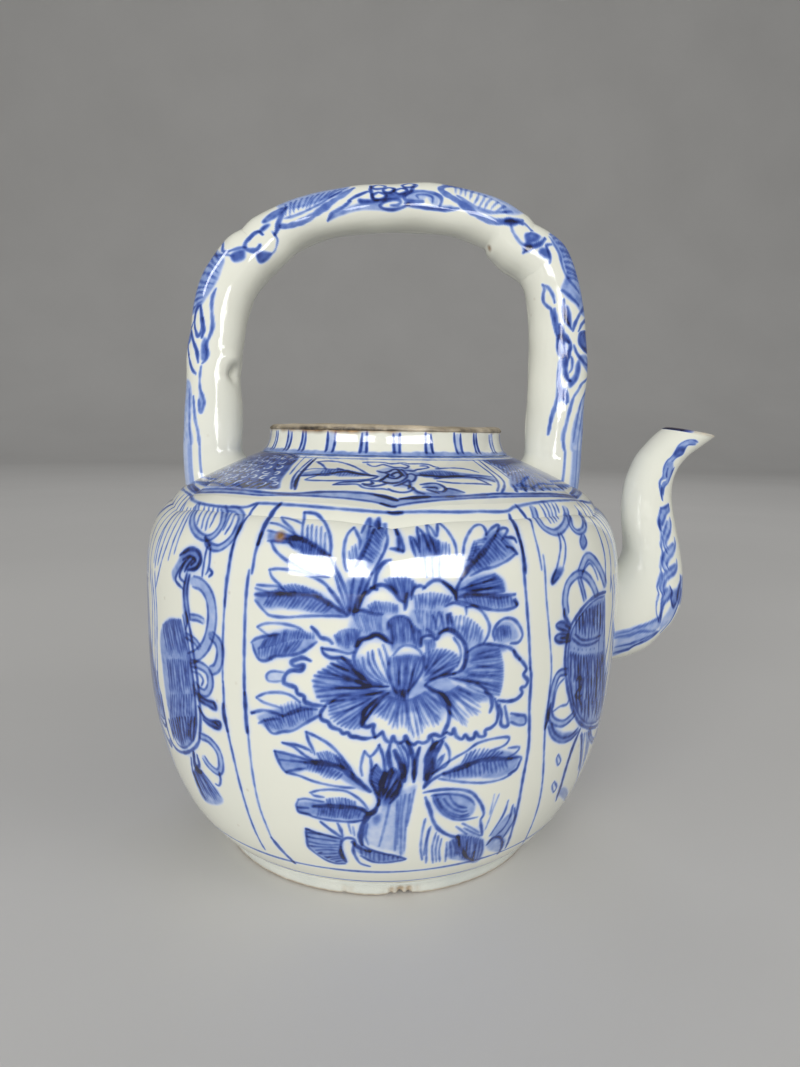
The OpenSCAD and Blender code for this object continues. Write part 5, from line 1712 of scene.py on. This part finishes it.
# the spout's canvas has this many mm for each degree round it
SPOUT_DEGREE = 0.14
SPOUT_ROWS = 320
LAST = len(SPOUT) - 1.0
spout_b = np.linspace(-math.pi / 2, 1.5 * math.pi, AROUND_SPOUT, endpoint=False)


def spline(v, t):
    q = np.vstack([2 * v[0] - v[1], v, 2 * v[-1] - v[-2]])
    i = np.minimum(t.astype(int), len(v) - 2)
    f = (t - i)[:, None]
    a, b, c, d = q[i], q[i + 1], q[i + 2], q[i + 3]
    return 0.5 * (2 * b + (c - a) * f + (2 * a - 5 * b + 4 * c - d) * f**2 + (3 * b - a - 3 * c + d) * f**3)


def spout_rings(off, t):
    q = spline(SPOUT, t)
    lo, hi = q[:, [0, 1]], q[:, [2, 3]]
    mid, d = (lo + hi) / 2, (hi - lo) / 2
    half = np.linalg.norm(d, axis=1)
    d = d / half[:, None]
    h, w = half + off, q[:, 4] + off
    x = mid[:, 0:1] + d[:, 0:1] * h[:, None] * np.sin(spout_b)
    z = mid[:, 1:2] + d[:, 1:2] * h[:, None] * np.sin(spout_b)
    return np.stack([x, w[:, None] * np.cos(spout_b), z], -1)


t = np.linspace(0, LAST, SPOUT_ROWS)
out = spout_rings(0.0, t)
ridge_line = spline(SPOUT, t)
ridge_line = (ridge_line[:, :2] + ridge_line[:, 2:4]) / 2
spout_s = np.r_[0, np.cumsum(np.linalg.norm(np.diff(ridge_line, axis=0), axis=1))]
SPOUT_MIDDLE = """
s .42 .8 205,238 186,330 181,400 204,480 210,540 206,620 224,690 211,760 206,840 218,884 196,960
 186,1040 204,1100 186,1200 186,1300 216,1390
s .5 1 282,190 240,226 205,238
s .42 .8 280,190 286,250 256,292 228,370 214,408
w .42 205,240 190,330 184,400 205,470 222,400 256,292 284,240 280,200 240,228
s .7 .7 196,350 192,410 206,460
s .42 .85 290,322 301,380 296,450 266,540 254,600 276,640
s .42 .75 266,360 250,420 226,520 236,620 266,684
w .28 290,330 300,390 290,460 262,545 252,610 268,680 236,620 224,530 248,430 268,370
s .42 .85 336,522 345,600 320,690 286,740 264,800 282,842
s .42 .75 326,580 270,642 236,700 220,780 238,850 266,862
w .28 336,540 344,600 318,690 284,738 262,800 266,856 238,846 222,780 240,700 274,646 324,590
s .42 .85 360,742 366,810 350,870 290,930 255,990 250,1060 262,1100
s .42 .75 350,790 300,840 246,900 220,960 210,1040 240,1100
w .28 360,750 366,810 348,868 288,928 252,990 250,1060 238,1096 212,1040 222,960 248,904 302,846 350,800
w .4 310,1024 330,1082 300,1140 262,1200 244,1300 222,1390 200,1380 230,1290 236,1200 250,1110 284,1040
s .45 1 310,1020 330,1080 300,1140 260,1200 240,1300 228,1390
s .45 .9 282,1040 250,1100 236,1190 232,1290 206,1384
s .6 1.2 402,900 406,960 390,1040 380,1150
w .5 344,1052 330,1150 350,1222 384,1170 392,1060 370,1040
s .5 1 336,1060 326,1140 350,1222 376,1180
s .45 .85 430,900 436,1080 420,1180
w .4 400,900 392,1040 384,1160 424,1170 438,1080 430,910
"""
SPOUT_NECK = """
s .4 .8 702,930 690,840 681,760 692,700 730,650 746,570 790,482 850,430 900,370 950,290 1030,240
 1120,230 1180,262
s .5 .85 718,860 742,770 790,720 830,640 860,580 880,550
s .4 .7 860,480 920,432 990,400 1020,340 1060,292 1150,290
w .5 706,920 690,800 684,740 700,690 736,650 752,570 800,480 860,425 905,365 955,290 1030,244 1140,240
 1150,286 1060,290 1018,340 990,398 920,430 870,490 860,580 820,650 780,724 738,774 718,860
w .6 880,400 950,310 1010,320 985,396 910,436
s .8 .75 800,560 782,610 776,656
s .55 -.5 704,742 726,704 764,690
s .6 1 712,780 700,860 706,930
"""
SPOUT_ROOT = """
w .32 256,776 215,800 165,820 118,836 118,852 190,832 240,820 262,800
s .4 .8 256,774 216,799 166,819 120,835 / 244,820 190,831 122,850
w .3 256,824 204,866 152,888 108,914 118,880 130,852 190,838 240,828
s .45 .9 196,868 160,884 124,904
s .4 .8 @12.4,42 @8,48 @4,50 @1.6,46 / @11.8,45 @7.6,54 @3.4,57 @1.6,58
s .5 .9 262,828 300,780 322,720 330,660
w .3 256,824 300,776 322,716 330,660 318,650 300,720 270,780
"""


def on_spout(s, turned):
    """The spout's surface at s mm along it, turned that many degrees from its underside"""
    q = spline(SPOUT, np.interp(s, spout_s, t).ravel())
    low, high = q[:, :2], q[:, 2:4]
    middle, half = (low + high) / 2, (high - low) / 2
    turned = np.radians(turned).ravel()
    flat = middle - half * np.cos(turned)[:, None]
    return [v.reshape(np.shape(s)) for v in (flat[:, 0], -q[:, 4] * np.sin(turned), flat[:, 1])]


class SpoutCrop(Crop):
    """A crop whose points go on the spout's canvas: mm along it and degrees round it"""

    # the root was drawn again after the painting was read, which left the painting this far down
    SLIDE = 1.3

    def __init__(self, corner, enlarged):
        super().__init__(corner, enlarged, on_spout, (0, 12), (spout_s[-1], 195))

    def __call__(self, points):
        s, turned = super().__call__(points).T
        return np.stack([s - self.SLIDE * smooth(s, 0, 20), turned], 1)


braid = Canvas(0, 68, -1, 26, 0.12)
for rows in (
    strokes(SPOUT_MIDDLE, SpoutCrop((640, 480), 10)),
    strokes(SPOUT_NECK, SpoutCrop((655 - 620 / 12, 418), 12)),
    strokes(SPOUT_ROOT, SpoutCrop((590, 400), 3.6)),
):
    braid.paint(rows, 0, 1, SPOUT_DEGREE)
braid.d *= 0.92
braid.finish(5)
turn_deg = np.degrees(spout_b + math.pi / 2)
turn_deg = np.minimum(turn_deg, 360 - turn_deg)
ink = braid.sample(*np.broadcast_arrays(spout_s[:, None], turn_deg * SPOUT_DEGREE))
# the root follows the bowl and spreads into the luted fillet
root = np.clip(1 - t / 1.6, 0, 1)
centre = out.mean(axis=1, keepdims=True)
out = centre + (out - centre) * (1 + 0.17 * root**2.4)[:, None, None]
az = np.degrees(np.arctan2(out[..., 1], out[..., 0]))
skin = wall_r(out[..., 2]) + 2 * (out[..., 2] / RIDGE_Z) ** 1.5 * crest(az) + uneven(az, out[..., 2])
skin = np.sqrt(np.maximum(skin**2 - out[..., 1] ** 2, 0)) - 0.4
pull = np.clip(1 - t, 0, 1)[:, None]
out[..., 0] = out[..., 0] * (1 - pull) + skin * pull
waves = 0.12 * np.sin(spout_s * 0.31)[:, None] * np.cos(2 * spout_b + 0.6)
out[..., 1] += waves * np.sign(np.cos(spout_b))
inn = spout_rings(-1.9, np.linspace(LAST, 0.3, 40))
worn_rim = [(-0.35, (0.3, 0, 0.3)), (-0.95, (0.42, 0, 0.42)), (-1.5, (0.25, 0, 0.3))]
edge = [spout_rings(off, np.array([LAST])) + np.array(push) for off, push in worn_rim]
p = np.concatenate([out] + edge + [inn])
ink = np.concatenate([ink, np.zeros((len(p) - len(out), AROUND_SPOUT))])
worn = np.zeros(p.shape[:2])
back_edge = np.clip((turn_deg - 95) / 25, 0, 1)
worn[SPOUT_ROWS : SPOUT_ROWS + 3] = 0.3 - 0.1 * back_edge + 0.1 * np.sin(turn_deg * 0.2)
worn[SPOUT_ROWS - 7 : SPOUT_ROWS] = np.linspace(0, 0.35, 7)[:, None] * (1 - back_edge)
# painted shade: the spout's bore is inked deep blue on its upper half all the way down, and so are the rim
# and the last mm of the outside there
ink[SPOUT_ROWS - 4 :] = np.maximum(ink[SPOUT_ROWS - 4 :], 2.1 * back_edge)
v = np.r_[np.linspace(0.1, 1, SPOUT_ROWS), np.linspace(0.095, 0, len(p) - SPOUT_ROWS)]
spout_part = Piece("spout")
spout_part.grid(p[:, ::-1], ink[:, ::-1], worn[:, ::-1], wrap_u=True, v=v)
spout_part.make(GLAZE, "glaze", "spout_left", "spout_right", "spout_luting")
# ---------------------------------------------------------------- floor and light
# a sheet of pale paper that sweeps up behind the pot
SWEEP_Y, SWEEP_R, SWEEP_TOP = 2.4, 1.2, 4.5
bend = np.radians(np.linspace(0, 90, 24))
sheet = [(-9.0, 0.0)] + [(SWEEP_Y + SWEEP_R * math.sin(a), SWEEP_R * (1 - math.cos(a))) for a in bend]
sheet.append((SWEEP_Y + SWEEP_R, SWEEP_TOP))
me = bpy.data.meshes.new("floor")
me.from_pydata(
    [(x, y, z) for y, z in sheet for x in (-12, 12)],
    [],
    [(2 * k, 2 * k + 1, 2 * k + 3, 2 * k + 2) for k in range(len(sheet) - 1)],
)
me.polygons.foreach_set("use_smooth", [True] * len(me.polygons))
floor = bpy.data.objects.new("floor", me)
bpy.context.scene.collection.objects.link(floor)
m, n, b = material("floor_paper")
where = node(n, "TexCoord").outputs["Object"]
paper = ramp(n, noise(n, where, 3, 3), [(0.3, linear(206, 205, 203)), (0.7, linear(211, 210, 208))])
n.links.new(paper, b.inputs["Base Color"])
b.inputs["Roughness"].default_value = 0.8
me.materials.append(m)

world = bpy.data.worlds.new("studio")
world.use_nodes = True
world.node_tree.nodes["Background"].inputs[0].default_value = (0.63, 0.63, 0.63, 1)
world.node_tree.nodes["Background"].inputs[1].default_value = 0.52
bpy.context.scene.world = world
bpy.context.scene.view_settings.view_transform = "Standard"


def panel(name, place, across, up_way, size, radiance, colour=(1, 1, 1)):
    """A rectangular light with edges along across and up_way, which shines along -(across x up_way)"""
    d = bpy.data.lights.new(name, "AREA")
    d.shape, d.size, d.size_y, d.color = "RECTANGLE", size[0], size[1], colour
    d.energy = radiance * math.pi * size[0] * size[1]
    o = bpy.data.objects.new(name, d)
    x = Vector(across).normalized()
    z = x.cross(Vector(up_way)).normalized()
    y = z.cross(x)
    o.matrix_world = Matrix([[x[i], y[i], z[i], place[i]] for i in range(3)] + [[0, 0, 0, 1]])
    bpy.context.scene.collection.objects.link(o)
    return o


def aimed(name, place, aim, size, radiance, colour=(1, 1, 1)):
    away = (Vector(place) - Vector(aim)).normalized()
    across = Vector((0, 0, 1)).cross(away)
    return panel(name, place, across, away.cross(across), size, radiance, colour)


def mirrored(name, surface, corners, radiance, seen_by, far=1.3):
    """A panel whose reflection fills the patch between corners, on the given pieces only"""
    spots = []
    for a, k in corners:
        p, pa, pk = (np.array(surface(*q)).ravel() for q in ((a, k), (a + 0.3, k), (a, k + 0.3)))
        normal = np.cross(pa - p, pk - p)
        normal /= np.linalg.norm(normal)
        ray = p - np.array(eye) * 1000
        ray /= np.linalg.norm(ray)
        if normal @ ray > 0:
            normal = -normal
        spots.append((p * 0.001, ray - 2 * (ray @ normal) * normal))
    start = np.mean([s[0] for s in spots], 0)
    way = np.mean([s[1] for s in spots], 0)
    way /= np.linalg.norm(way)
    ends = [p + d * far / (d @ way) for p, d in spots]
    low_left, low_right, high_right, high_left = ends
    across = (low_right - low_left + high_right - high_left) / 2
    rise = (high_left - low_left + high_right - low_right) / 2
    size = (np.linalg.norm(across), np.linalg.norm(rise - across * (rise @ across) / (across @ across)))
    if np.cross(across, rise) @ way < 0:
        across = -across
    o = panel(name, tuple(start + way * far), across, rise, size, radiance)
    o.visible_diffuse = False
    o.light_linking.receiver_collection = seen_by
    return o


def group(name, *pieces):
    c = bpy.data.collections.new(name)
    for p in pieces:
        c.objects.link(bpy.data.objects[p])
    return c


def patch(a0, a1, t0, t1, centre=LOBE_FRONT):
    """Corners in degrees round the pot and mm up the wall, from a panel's sheet"""
    return [(centre + x / MM_A_DEGREE, t) for x, t in ((a0, t0), (a1, t0), (a1, t1), (a0, t1))]


def on_wall(a, t_up):
    return bowl_xyz(a, np.interp(t_up, t_run, z_run))


pot = group("pot_side", "bowl", "ridge", "shoulder", "neck", "lip", "foot")
grip_side = group("grip_side", "leg_front", "leg_rear", "arch")
key = aimed("key", (-0.6, -1.6, 0.5), (0, 0, 0.09), (1.2, 0.8), 7.6, (1, 0.99, 0.96))
key.visible_glossy = False
aimed("fill", (1.6, -1.0, 0.9), (0, 0, 0.1), (0.9, 0.9), 2.8, (1, 0.99, 0.97)).visible_glossy = False
aimed("back", (0.2, 1.6, 1.5), (0, 0, 0.1), (1.2, 0.6), 2.2).visible_glossy = False
# where the front lobe shows the windows: from and to, mm across and mm up the wall
WINDOWS = [
    (-24.2, -13.7, 88.6, 93.1), (-10.9, -6.7, 89.0, 92.9), (-2.1, 14.0, 89.0, 93.4),
    (-17.5, -5.9, 76.6, 80.1), (1.3, 7.6, 77.6, 82.6),
]
for k, spot in enumerate(WINDOWS):
    mirrored("window_%d" % k, on_wall, patch(*spot), 14, pot)
# and where the handle shows them: from and to, mm along it and degrees round it
STRIPS = [(40, 54, -101, -91), (20, 36, -88, -84), (150, 160, -60, -54)]
for k, (s0, s1, b0, b1) in enumerate(STRIPS):
    mirrored("strip_%d" % k, on_grip, [(s0, b0), (s0, b1), (s1, b1), (s1, b0)], 9, grip_side)
